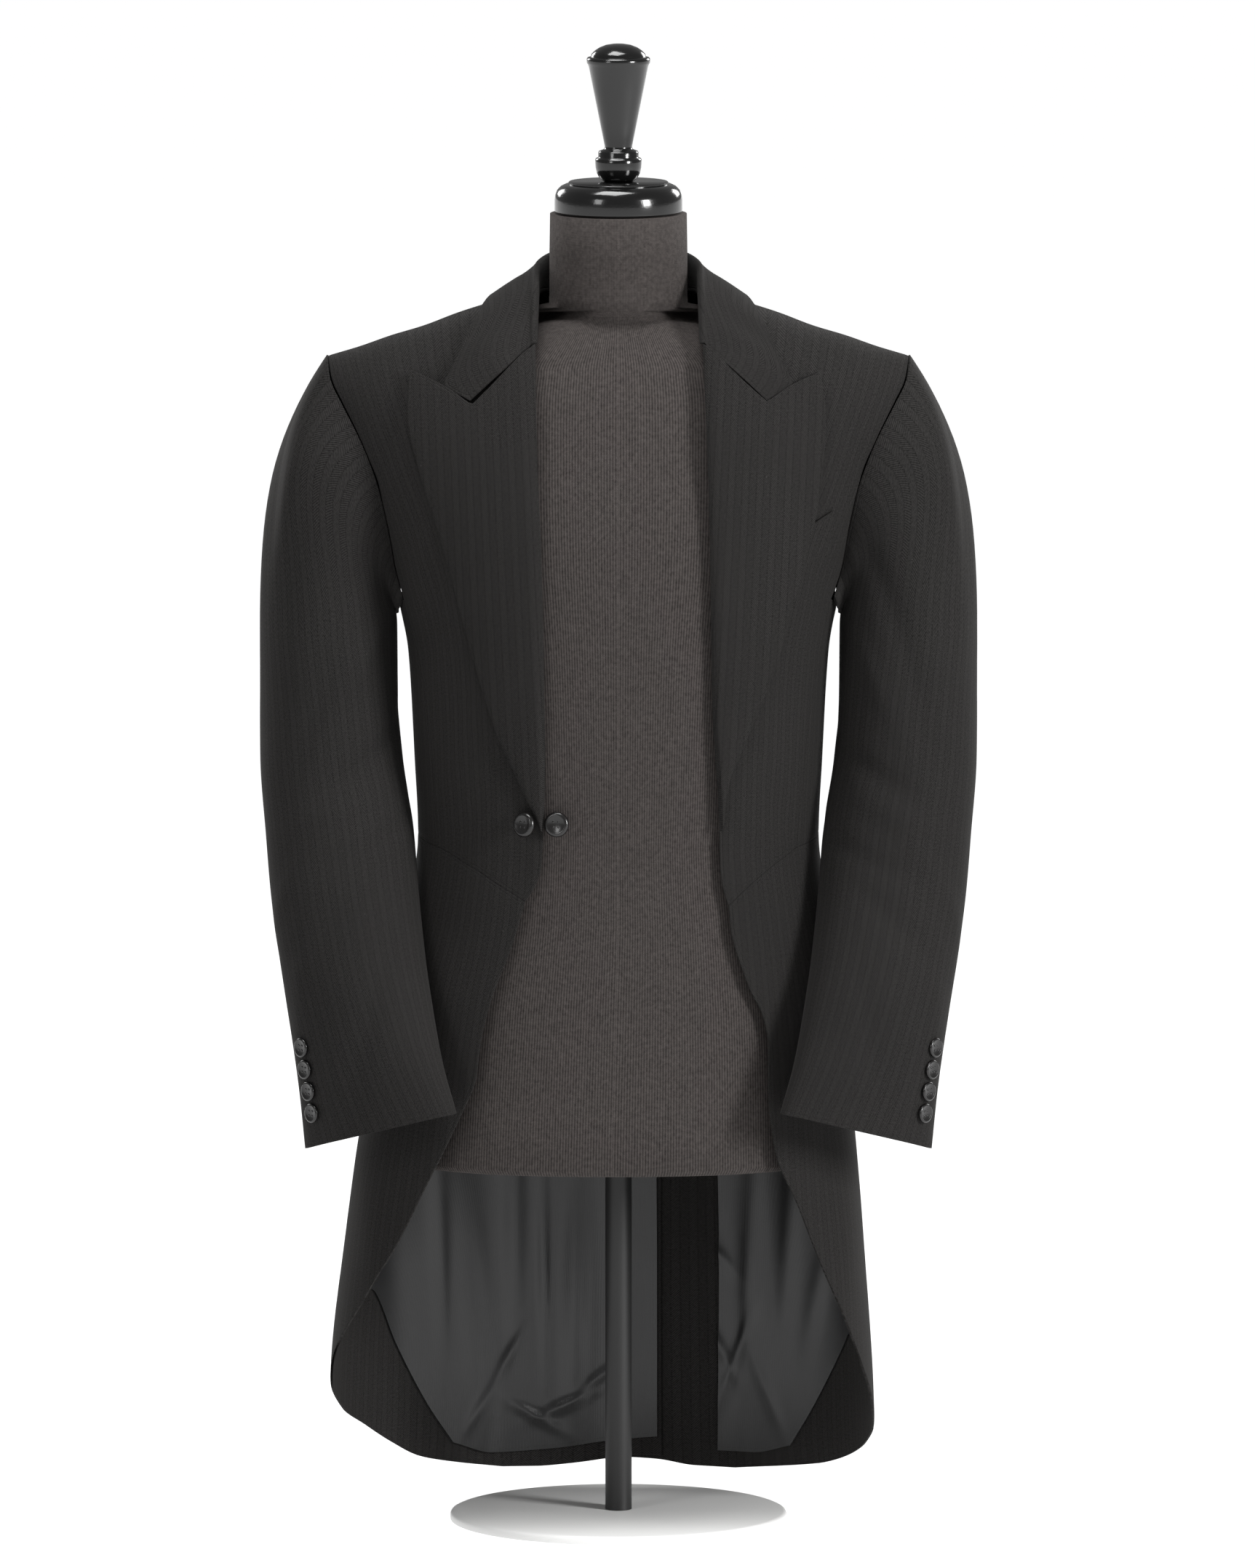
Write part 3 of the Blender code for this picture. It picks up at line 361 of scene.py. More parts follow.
@dataclass(frozen=True)
class BodySurface:
    """The smooth outer face of the coat round the figure, and the creases laid over it."""

    creases: tuple[Crease, ...] = ()

    @staticmethod
    def ridge(x: np.ndarray | float) -> np.ndarray:
        """Height of the shoulder's ridge at x."""
        return smooth(RIDGE, np.abs(x))[0]

    def base(self, t: np.ndarray, h: np.ndarray) -> np.ndarray:
        """Points for angle t round the figure and height h, past YOKE the turn over the shoulder."""
        t, h = np.broadcast_arrays(np.asarray(t, float), np.asarray(h, float))
        psi = np.clip((h - YOKE) / YOKE_SPAN, 0, 1) * math.pi / 2
        rise = np.sin(psi) ** (2 / RIDGE_ROUND)
        fall = np.abs(np.cos(psi)) ** (2 / RIDGE_ROUND)
        across = power(np.sin(t), 2 / ROUND)
        z = np.array(h, float)
        for _ in range(14):
            half, front, behind, centre = smooth(BODY, z)
            x = centre + half * across
            z = np.where(h > YOKE, YOKE + (self.ridge(x) - YOKE) * rise, h)
        depth = np.where(np.cos(t) > 0, front, behind)
        y = -depth * power(np.cos(t), 2 / ROUND) * np.where(h > YOKE, fall, 1.0)
        return np.stack([x, y, z], axis=-1)

    def relief(self, points: np.ndarray) -> np.ndarray:
        """How far the creases move each point out."""
        moved = np.zeros(points.shape[:-1])
        for crease in self.creases:
            here = np.clip(points[..., 1] / (-20 if crease.face is Face.FRONT else 20), 0, 1)
            moved += here * crease.lift(points[..., 0] - crease.x, points[..., 2] - crease.z)
        return moved

    def skin(self, t: np.ndarray, h: np.ndarray, out: np.ndarray | float = 0.0) -> np.ndarray:
        """The creased outer face, moved out by a distance along its own normal."""
        h = np.minimum(h, YOKE + YOKE_SPAN * TOP_PSI / 90)
        flat = self.base(t, h)
        along = self.base(t + 0.004, h) - self.base(t - 0.004, h)
        up = flat - self.base(t, h - 0.6)
        normal = np.cross(along, up)
        normal /= np.linalg.norm(normal, axis=-1, keepdims=True)
        return flat + (np.asarray(out, float) + self.relief(flat))[..., None] * normal

    def place(self, x: float, z: float, face: Face = Face.FRONT) -> tuple[float, float]:
        """The (t, h) of a point drawn at (x, z) on one face."""
        half, _, _, centre = (float(v) for v in smooth(BODY, z))
        side = -1.0 if x < 0 else 1.0
        share = min(1.0, max(-1.0, side * (x - centre) / half))
        t = math.copysign(math.asin(abs(share) ** (ROUND / 2)), share)
        if face is Face.SIDE:
            t = math.pi / 2
        if face is Face.BACK:
            t = math.pi - t
        h = z
        if z > YOKE:
            rise = min(1.0, (z - YOKE) / (float(self.ridge(x)) - YOKE))
            h = YOKE + YOKE_SPAN * math.asin(rise ** (RIDGE_ROUND / 2)) / (math.pi / 2)
        return t * side, min(h, YOKE + YOKE_SPAN * TOP_PSI / 90)

    def spot(self, x: float, z: float, out: float = 0.0, face: Face = Face.FRONT) -> np.ndarray:
        """The point drawn at (x, z) on one face, moved out by a distance."""
        t, h = self.place(x, z, face)
        return self.skin(np.array(t), np.array(h), out)


FLAT = BodySurface()


@dataclass(frozen=True)
class Edge:
    """A drawn outline as dense (t, h) points, read by the share of its length."""

    points: np.ndarray

    @classmethod
    def drawn(cls, rows: Sequence[tuple], face: Face = Face.FRONT, sign: int = 1) -> Edge:
        """An outline through (x, z) or (x, z, face) rows, smooth within each face.

        Args:
            rows: The drawn points.
            face: The face of rows that name none.
            sign: -1 to draw it on the other side.
        """
        full = [(sign * row[0], row[1], row[2] if len(row) > 2 else face) for row in rows]
        flat = np.array([(x, z) for x, z, _ in full], float)
        far = np.concatenate([[0], np.cumsum(np.maximum(np.linalg.norm(np.diff(flat, axis=0), axis=1), 0.5))])
        table = np.column_stack([far, flat])
        dense: list[tuple[float, float]] = [FLAT.place(*full[0])]
        for index in range(len(full) - 1):
            parts = 14 if full[index][2] is full[index + 1][2] else 1
            for k in range(1, parts + 1):
                at = far[index] + (far[index + 1] - far[index]) * k / parts
                x, z = (float(v) for v in smooth(table, at))
                dense.append(FLAT.place(x, z, full[index + 1][2]))
        return cls(np.array(dense))

    def around(self, sign: int) -> Edge:
        """The outline with what lies past the centre back counted on from the given side."""
        t = self.points[:, 0]
        return Edge(np.column_stack([np.where(t * sign < 0, t + sign * 2 * math.pi, t), self.points[:, 1]]))

    def length(self) -> np.ndarray:
        """The distance along the outline at each of its points."""
        return travelled(FLAT.skin(self.points[:, 0], self.points[:, 1]))

    def at(self, share: np.ndarray) -> np.ndarray:
        """The (t, h) points at shares of the outline's length."""
        far = self.length()
        return np.stack([np.interp(share * far[-1], far, self.points[:, k]) for k in (0, 1)], axis=1)

    def back(self) -> Edge:
        """The outline the other way round."""
        return Edge(self.points[::-1])

    @staticmethod
    def joined(*edges: Edge) -> Edge:
        """Outlines end to end."""
        return Edge(np.concatenate([edges[0].points] + [e.points[1:] for e in edges[1:]]))


def shares(size: float, step: float) -> np.ndarray:
    """Shares from 0 to 1 about a step apart, with a few more close to both ends for a turned edge."""
    near = np.array([0.0, 0.7, 1.8, 3.4]) / size
    middle = np.linspace(near[-1], 1 - near[-1], max(4, round(size / step)))
    return np.concatenate([near[:-1], middle, 1 - near[:-1][::-1]])


def spread(start: Edge, end: Edge, bottom: Edge, top: Edge, step: float) -> np.ndarray:
    """A fine grid of (t, h) between four outlines: start and end run up, bottom and top run across."""
    high = max(start.length()[-1], end.length()[-1])
    wide = max(bottom.length()[-1], top.length()[-1])
    v, u = shares(high, step), shares(wide, step)
    left, right, low, up = start.at(v), end.at(v), bottom.at(u), top.at(u)
    v, u = v[:, None, None], u[None, :, None]
    across = (1 - u) * left[:, None] + u * right[:, None]
    upward = (1 - v) * low[None] + v * up[None]
    corners = (1 - u) * (1 - v) * low[0] + u * (1 - v) * low[-1] + (1 - u) * v * up[0] + u * v * up[-1]
    return across + upward - corners


class Graph:
    """A short way to write a material's nodes."""

    def __init__(self, name: str) -> None:
        """Starts a material of this name with an empty Principled shader."""
        self.material = bpy.data.materials.new(name)
        self.material.use_nodes = True
        self.tree = self.material.node_tree
        self.shader = self.tree.nodes["Principled BSDF"]

    def put(self, socket: bpy.types.NodeSocket, value: object) -> None:
        """Links a socket, or sets a constant, into an input."""
        if isinstance(value, bpy.types.NodeSocket):
            self.tree.links.new(value, socket)
        else:
            socket.default_value = value

    def math(self, operation: str, *values: object) -> bpy.types.NodeSocket:
        """One Math node."""
        node = self.tree.nodes.new("ShaderNodeMath")
        node.operation = operation
        for socket, value in zip(node.inputs, values):
            self.put(socket, value)
        return node.outputs[0]

    def times(self, one: object, other: object) -> bpy.types.NodeSocket:
        """A product."""
        return self.math("MULTIPLY", one, other)

    def scaled(self, value: object, factor: float, more: object) -> bpy.types.NodeSocket:
        """A value times a factor, and more added."""
        return self.math("MULTIPLY_ADD", value, factor, more)

    def axis(self, vector: bpy.types.NodeSocket, name: str) -> bpy.types.NodeSocket:
        """One axis of a vector."""
        node = self.tree.nodes.new("ShaderNodeSeparateXYZ")
        self.put(node.inputs[0], vector)
        return node.outputs[name]

    def uv(self) -> bpy.types.NodeSocket:
        """The cloth's own coordinates, in millimetres along and across its grain."""
        node = self.tree.nodes.new("ShaderNodeUVMap")
        node.uv_map = "grain"
        return node.outputs["UV"]

    def place(self) -> bpy.types.NodeSocket:
        """Object coordinates."""
        return self.tree.nodes.new("ShaderNodeTexCoord").outputs["Object"]

    def edge(self) -> bpy.types.NodeSocket:
        """Millimetres from the finished edge."""
        node = self.tree.nodes.new("ShaderNodeAttribute")
        node.attribute_name = "edge"
        return node.outputs["Fac"]

    def noise(self, vector: bpy.types.NodeSocket, scale: float, detail: float = 3.0) -> bpy.types.NodeSocket:
        """Soft noise."""
        node = self.tree.nodes.new("ShaderNodeTexNoise")
        self.put(node.inputs["Vector"], vector)
        node.inputs["Scale"].default_value = scale
        node.inputs["Detail"].default_value = detail
        return node.outputs["Fac"]

    def mix(
        self, share: bpy.types.NodeSocket, low: Sequence[float], high: Sequence[float]
    ) -> bpy.types.NodeSocket:
        """A colour between two."""
        node = self.tree.nodes.new("ShaderNodeMix")
        node.data_type = "RGBA"
        self.put(node.inputs[0], share)
        node.inputs[6].default_value = (*low, 1)
        node.inputs[7].default_value = (*high, 1)
        return node.outputs[2]

    def bump(self, height: bpy.types.NodeSocket, strength: float, distance: float) -> None:
        """Bump from a height, into the shader's normal."""
        node = self.tree.nodes.new("ShaderNodeBump")
        node.inputs["Strength"].default_value = strength
        node.inputs["Distance"].default_value = distance
        self.put(node.inputs["Height"], height)
        self.put(self.shader.inputs["Normal"], node.outputs["Normal"])

    def set(self, **values: object) -> None:
        """Constants or links on the shader, by names with underscores."""
        for name, value in values.items():
            self.put(self.shader.inputs[name.replace("_", " ")], value)


@dataclass(frozen=True)
class HerringboneCloth:
    """Charcoal-black wool herringbone with a turned, lightly stitched edge.

    Args:
        column: Width of one column of the weave in millimetres.
        twill: Distance from one twill line to the next.
        slant: Steepness of the twill lines.
        fuzz: Fineness of the nap, and strength of its tone.
        lint: Number of specks of lint along a metre, their radius and their brightness.
        stitching: Distance of the stitched groove from the edge, and its half width.
        dark: Colour between the lines.
        light: Colour on the lines.
    """

    name: str = "coat_cloth"
    column: float = 5.75
    twill: float = 1.9
    slant: float = 1.25
    fuzz: tuple[float, float] = (0.62, 1.1)
    lint: tuple[float, float, float] = (34, 0.024, 2.4)
    stitching: tuple[float, float] = (2.6, 0.55)
    dark: tuple[float, float, float] = (0.0022, 0.0020, 0.0018)
    light: tuple[float, float, float] = (0.0270, 0.0256, 0.0248)

    def build(self) -> bpy.types.Material:
        """Makes the material."""
        g = Graph(self.name)
        uv = g.uv()
        u, v = g.axis(uv, "X"), g.axis(uv, "Y")
        turn = g.math("FLOORED_MODULO", u, 2 * self.column)
        zigzag = g.math("ABSOLUTE", g.math("SUBTRACT", turn, self.column))
        slope = g.math("ADD", v, g.times(zigzag, self.slant))
        phase = g.times(slope, 2 * math.pi / self.twill)
        line = g.scaled(g.math("SINE", phase), 0.5, 0.5)
        centre = g.math("ABSOLUTE", g.math("SUBTRACT", zigzag, self.column / 2))
        inside = g.times(g.math("SUBTRACT", self.column / 2, centre), 1.4)
        spine = g.math("SMOOTH_MIN", inside, 1.0, 0.3)
        cloud = g.noise(g.place(), 9, 4)
        fuzz = g.noise(uv, self.fuzz[0], 4)
        leaning = g.scaled(g.math("GREATER_THAN", turn, self.column), 0.14, 0.93)
        weave = g.scaled(line, 0.85, 0.15)
        shade = g.times(weave, g.scaled(spine, 0.5, 0.5))
        shade = g.times(shade, leaning)
        shade = g.times(shade, g.scaled(cloud, 0.5, 0.62))
        shade = g.math("ADD", g.times(shade, 0.8), g.scaled(fuzz, self.fuzz[1], -0.43))
        shade = g.math("MAXIMUM", shade, 0.0)
        speck = g.tree.nodes.new("ShaderNodeTexVoronoi")
        g.put(speck.inputs["Vector"], g.place())
        many, radius, bright = self.lint
        speck.inputs["Scale"].default_value = many
        lint = g.math("LESS_THAN", speck.outputs["Distance"], radius)
        dusted = g.math("MINIMUM", g.math("ADD", shade, g.times(lint, bright)), 2.6)
        g.set(Base_Color=g.mix(dusted, self.dark, self.light), Roughness=0.86, Specular_IOR_Level=0.13)
        g.set(Sheen_Weight=0.03, Sheen_Roughness=0.5, Sheen_Tint=(0.75, 0.72, 0.7, 1))
        away = g.math("DIVIDE", g.math("SUBTRACT", g.edge(), self.stitching[0]), self.stitching[1])
        groove = g.math("EXPONENT", g.times(g.times(away, away), -1.0))
        beat = g.math("SINE", g.times(g.math("ADD", u, v), 1.6))
        stitch = g.scaled(beat, 0.25, 0.75)
        height = g.scaled(line, 0.12, g.times(fuzz, 0.16))
        height = g.math("SUBTRACT", height, g.times(g.times(groove, stitch), 0.55))
        g.bump(height, 0.55, 0.0009)
        return g.material


@dataclass(frozen=True)
class SatinLining:
    """Dark grey satin with a soft sheen along its folds.

    Args:
        thread: Turns of the thread's ripple, in radians a millimetre.
        stitching: Distance of the stitches from the edge, and their half width.
        colour: Its middle colour.
    """

    name: str = "lining_satin"
    thread: float = 7.0
    stitching: tuple[float, float] = (3.2, 0.5)
    colour: tuple[float, float, float] = (0.0075, 0.0075, 0.0078)

    def build(self) -> bpy.types.Material:
        """Makes the material."""
        g = Graph(self.name)
        uv = g.uv()
        thread = g.math("SINE", g.times(g.axis(uv, "X"), self.thread))
        cloud = g.noise(g.place(), 14, 2)
        shade = g.scaled(thread, 0.08, g.scaled(cloud, 0.5, 0.25))
        off = g.math("ABSOLUTE", g.math("SUBTRACT", g.edge(), self.stitching[0]))
        beat = g.math("SINE", g.times(g.math("ADD", g.axis(uv, "X"), g.axis(uv, "Y")), 1.5))
        near = g.math("LESS_THAN", off, self.stitching[1])
        stitch = g.times(near, g.math("GREATER_THAN", beat, -0.2))
        shade = g.times(shade, g.scaled(stitch, -0.9, 1.0))
        g.set(Base_Color=g.mix(shade, [0.5 * c for c in self.colour], [1.8 * c for c in self.colour]))
        g.set(Roughness=0.32, Specular_IOR_Level=0.6, Sheen_Weight=0.06, Sheen_Roughness=0.35, Anisotropic=0.5)
        g.bump(g.scaled(thread, 0.05, g.times(cloud, 0.7)), 0.3, 0.002)
        return g.material


@dataclass(frozen=True)
class FormJersey:
    """Charcoal-brown jersey stretched over the form, with fine upright ribs of knit.

    Args:
        rib: Turns of the ribs, in radians a millimetre.
        loop: Turns of the loops along a rib.
        dark: Colour between the ribs.
        light: Colour on the ribs.
    """

    name: str = "form_jersey"
    rib: float = 2.5
    loop: float = 6.0
    dark: tuple[float, float, float] = (0.012, 0.0100, 0.0094)
    light: tuple[float, float, float] = (0.078, 0.068, 0.0645)

    def build(self) -> bpy.types.Material:
        """Makes the material."""
        g = Graph(self.name)
        uv = g.uv()
        rib = g.scaled(g.math("SINE", g.times(g.axis(uv, "X"), self.rib)), 0.5, 0.5)
        loop = g.scaled(g.math("SINE", g.times(g.axis(uv, "Y"), self.loop)), 0.5, 0.5)
        cloud = g.noise(g.place(), 330, 3)
        shade = g.scaled(rib, 0.5, g.scaled(cloud, 0.8, -0.24))
        g.set(Base_Color=g.mix(shade, self.dark, self.light), Roughness=0.93, Specular_IOR_Level=0.2)
        g.set(Sheen_Weight=0.06, Sheen_Roughness=0.5, Sheen_Tint=(0.8, 0.74, 0.7, 1))
        knit = g.scaled(g.times(rib, loop), 0.3, g.times(cloud, 0.2))
        g.bump(knit, 0.5, 0.0009)
        return g.material


@dataclass(frozen=True)
class Gloss:
    """A smooth, evenly coloured finish.

    Args:
        colour: Base colour.
        rough: Roughness.
        coat: Clear coat over it.
        grain: Strength of a fine grain in its surface.
        glow: Strength of its own white light, for the studio's floor.
    """

    name: str
    colour: tuple[float, float, float]
    rough: float
    coat: float = 0.0
    grain: float = 0.0
    glow: float = 0.0

    def build(self) -> bpy.types.Material:
        """Makes the material."""
        g = Graph(self.name)
        g.set(Base_Color=(*self.colour, 1), Roughness=self.rough, Coat_Weight=self.coat, Coat_Roughness=0.04)
        if self.glow:
            g.set(Emission_Color=(1, 1, 1, 1), Emission_Strength=self.glow)
        if self.grain:
            g.bump(g.noise(g.place(), 700, 2), self.grain, 0.0004)
        return g.material


@dataclass
class Finishes:
    """Every material, made once and shared."""

    made: dict[str, bpy.types.Material] = field(default_factory=dict)

    def get(self, name: str) -> bpy.types.Material:
        """The material of that record slot."""
        if not self.made:
            for finish in (
                HerringboneCloth(),
                SatinLining(),
                FormJersey(),
                Gloss("button_horn", (0.0075, 0.007, 0.0068), 0.24, coat=0.15),
                Gloss("cap_lacquer", (0.0035, 0.0035, 0.0035), 0.16, coat=0.25, grain=0.12),
                Gloss("pole_metal", (0.008, 0.008, 0.008), 0.5),
                Gloss("base_metal", (0.82, 0.82, 0.81), 0.42, grain=0.15),
            ):
                self.made[finish.name] = finish.build()
        return self.made[name]


FINISHES = Finishes()


def make(name: str, points: np.ndarray, faces: Sequence[Sequence[int]], slot: str) -> bpy.types.Object:
    """One smooth-shaded mesh from points in millimetres, facing out.

    Args:
        name: The object's name.
        points: Corner points.
        faces: Corner indices of each face.
        slot: The record slot of its finish.
    """
    mesh = bpy.data.meshes.new(name)
    mesh.from_pydata(((np.asarray(points) + MIDDLE) * MM).tolist(), [], [list(map(int, f)) for f in faces])
    mesh.update()
    held = bpy.data.objects.new(name, mesh)
    bpy.context.scene.collection.objects.link(held)
    mesh.materials.append(FINISHES.get(slot))
    mesh.shade_smooth()
    return held


def normals_of(grid: np.ndarray) -> np.ndarray:
    """Unit normals of a grid of points."""
    normal = np.cross(np.gradient(grid, axis=1), np.gradient(grid, axis=0))
    return normal / np.maximum(np.linalg.norm(normal, axis=-1, keepdims=True), TINY)


def drawn_in(grid: np.ndarray, gap: float) -> np.ndarray:
    """The grid's edges moved in by half the gap at a seam."""
    grid = grid.copy()
    for axis in (0, 1):
        rows = np.moveaxis(grid, axis, 0)
        for edge, inner in ((0, 1), (-1, -2)):
            way = rows[inner] - rows[edge]
            far = np.maximum(np.linalg.norm(way, axis=-1, keepdims=True), TINY)
            rows[edge] += np.minimum(gap, 0.5 * far) * way / far
    return grid


@dataclass
class ClothSheet:
    """A wall of cloth between two grids of points, with its grain and rounded edges.

    Args:
        name: Its name.
        outer: Grid of points on its outer face.
        inner: Grid of points on its inner face.
        grain: Grid of (across, along) millimetres for the weave.
        slot: The record slot of its finish.
        rests_on: Names of the pieces that hold it. Not used.
        round_off: Radius of its edges in millimetres.
        node: The CAD node it stands for: its own name where None, and none where empty.
    """

    name: str
    outer: np.ndarray
    inner: np.ndarray
    grain: np.ndarray
    slot: str = "coat_cloth"
    rests_on: tuple[str, ...] = ("dress_form",)
    round_off: float = 0.55
    node: str | None = None

    def edge_distance(self) -> np.ndarray:
        """Millimetres from the nearest edge, along the grid."""
        left, low = travelled(self.outer, 1), travelled(self.outer)
        nearest = np.minimum(np.minimum(left, left[:, -1:] - left), np.minimum(low, low[-1:] - low))
        return np.minimum(nearest, 30.0)

    def flat(self) -> tuple[float, float]:
        """Width and length in metres of the piece laid flat."""
        wide = np.linalg.norm(np.diff(self.outer, axis=1), axis=2).sum(axis=1).max()
        long = np.linalg.norm(np.diff(self.outer, axis=0), axis=2).sum(axis=0).max()
        return round(float(wide) * MM, 3), round(float(long) * MM, 3)

    def build(self) -> None:
        rows, columns = self.outer.shape[:2]
        half = rows * columns
        i, j = np.meshgrid(np.arange(rows - 1), np.arange(columns - 1), indexing="ij")
        a = (i * columns + j).ravel()
        quads = np.stack([a, a + 1, a + columns + 1, a + columns], axis=1)
        ring = [(0, j) for j in range(columns)] + [(i, columns - 1) for i in range(1, rows)]
        ring += [(rows - 1, j) for j in range(columns - 2, -1, -1)] + [(i, 0) for i in range(rows - 2, 0, -1)]
        index = np.array([i * columns + j for i, j in ring])
        after = np.roll(index, -1)
        rim = np.stack([after, index, half + index, half + after], axis=1)
        points = np.concatenate([self.outer.reshape(-1, 3), self.inner.reshape(-1, 3)])
        corners = [points[quads[:, k]] for k in range(4)]
        facing = np.cross(corners[1] - corners[0], corners[3] - corners[0])
        outward = np.sum(facing * (self.outer - self.inner).reshape(-1, 3)[quads[:, 0]])
        faces = np.concatenate([quads, half + quads[:, ::-1], rim])
        if outward < 0:
            faces = faces[:, ::-1]
        held = make(self.name + "_cloth", points, faces, self.slot)
        layer = held.data.uv_layers.new(name="grain")
        grain = np.concatenate([self.grain.reshape(-1, 2)] * 2)
        loops = np.empty(len(held.data.loops), np.int32)
        held.data.loops.foreach_get("vertex_index", loops)
        layer.data.foreach_set("uv", grain[loops].ravel())
        edge = held.data.attributes.new("edge", "FLOAT", "POINT")
        edge.data.foreach_set("value", np.concatenate([self.edge_distance().ravel()] * 2))
        bevel = held.modifiers.new("turned_edge", "BEVEL")
        bevel.width, bevel.segments, bevel.limit_method = self.round_off * MM, 2, "ANGLE"
        bevel.angle_limit = math.radians(55)
        bevel.harden_normals = False
        if self.node is None:
            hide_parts(self.name)
        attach(held, "root")


def panel(
    name: str, grid: np.ndarray, surface: BodySurface, out: np.ndarray | float = 0.0, wall: float = CLOTH,
    slot: str = "coat_cloth", grain: np.ndarray | None = None, tuck: float = 0.35,
    extra: Callable[[np.ndarray], np.ndarray] | None = None,
) -> ClothSheet:
    """A cloth piece on the body: its outer and inner face, sinking a little at its seams.

    Args:
        name: The CAD node it stands for.
        grid: The (t, h) grid.
        surface: The creased body surface.
        out: How far its outer face stands off.
        wall: Thickness.
        slot: Record slot of its finish.
        grain: Its weave coordinates, or None for upright columns.
        tuck: How far its edges sink at a seam.
        extra: More offset, from the flat points.
    """
    flat = FLAT.skin(grid[..., 0], grid[..., 1])
    out = np.broadcast_to(np.asarray(out, float), grid.shape[:2]).copy()
    if extra is not None:
        out = out + extra(flat)
    probe = ClothSheet(name, flat, flat, flat[..., :2])
    sunk = tuck * np.exp(-probe.edge_distance() / 1.2)
    outer = drawn_in(surface.skin(grid[..., 0], grid[..., 1], out - sunk), 0.15)
    inner = drawn_in(surface.skin(grid[..., 0], grid[..., 1], out - wall), 0.15)
    if grain is None:
        grain = np.stack([grid[..., 0] * GRAIN_RADIUS, flat[..., 2]], axis=-1)
    return ClothSheet(name, outer, inner, grain, slot)


@dataclass
class Bodice:
    """The forepart, side body and back of one side, with the back's tail.

    Args:
        side: Which side.
        surface: The creased body surface.
        step: Size of its grid in millimetres.
    """

    side: Side
    surface: BodySurface
    step: float = 7.0

    def build(self) -> None:
        """Makes the three panels."""
        side, sign = self.side, self.side.sign
        seam = Edge.drawn(SIDE_SEAM, sign=sign)
        arm = Edge.drawn(ARM_FRONT, sign=sign)
        front = Edge.joined(Edge.drawn(FRONT_EDGE[side]), Edge.drawn(CREASE[side]))
        neck = Edge.drawn((CREASE[side][-1], (sign * 70.5, 1008.5), (sign * 72, 1030.5)))
        over = Edge.drawn(SHOULDER, sign=sign)
        low = Edge.drawn(WAIST_FRONT[side])
        grid = spread(front, Edge.joined(seam, arm), low, Edge.joined(neck, over), self.step)
        panel(f"forepart_{side.value}", grid, self.surface).build()
        behind = Edge.drawn(WAIST_BEHIND, sign=sign)
        back_seam = Edge.drawn(BACK_SEAM, Face.BACK, sign)
        under = Edge.drawn(UNDER_ARM, sign=sign)
        grid = spread(seam, back_seam, behind, under, self.step)
        panel(f"side_body_{side.value}", grid, self.surface).build()
        arm_back = Edge.drawn(ARM_BACK, Face.BACK, sign)
        centre = Edge.drawn(tuple((0.01, z) for z in (585, 700, 850, 950, 1011.5)), Face.BACK, sign)
        nape = Edge.drawn(((0.01, 1011.5), (38, 1014.5), (72, 1030.5)), Face.BACK, sign)
        top = Edge.joined(nape, Edge.drawn(SHOULDER, Face.BACK, sign))
        waist = Edge.drawn(((0.01, 585), (57, 585)), Face.BACK, sign)
        tail = Edge.drawn(tuple((0.01, z) for z in (29, 200, 380, 585)), Face.BACK, sign)
        hem = Edge.drawn(HEM_TAIL[side], Face.BACK).back()
        upper = spread(centre, Edge.joined(back_seam, arm_back), waist, top, self.step)
        lower = spread(tail, Edge.drawn(TAIL_SEAM, Face.BACK, sign).back(), hem, waist, self.step)
        columns = np.linspace(0, 1, upper.shape[1])
        wide = shares(max(hem.length()[-1], waist.length()[-1]), self.step)
        fine = shares(max(waist.length()[-1], top.length()[-1]), self.step)
        again = np.empty((lower.shape[0], len(columns), 2))
        for row in range(lower.shape[0]):
            for k in (0, 1):
                again[row, :, k] = np.interp(fine, wide, lower[row, :, k])
        whole = np.concatenate([again[:-3], upper[3:]])
        panel(f"back_{side.value}", whole, self.surface).build()


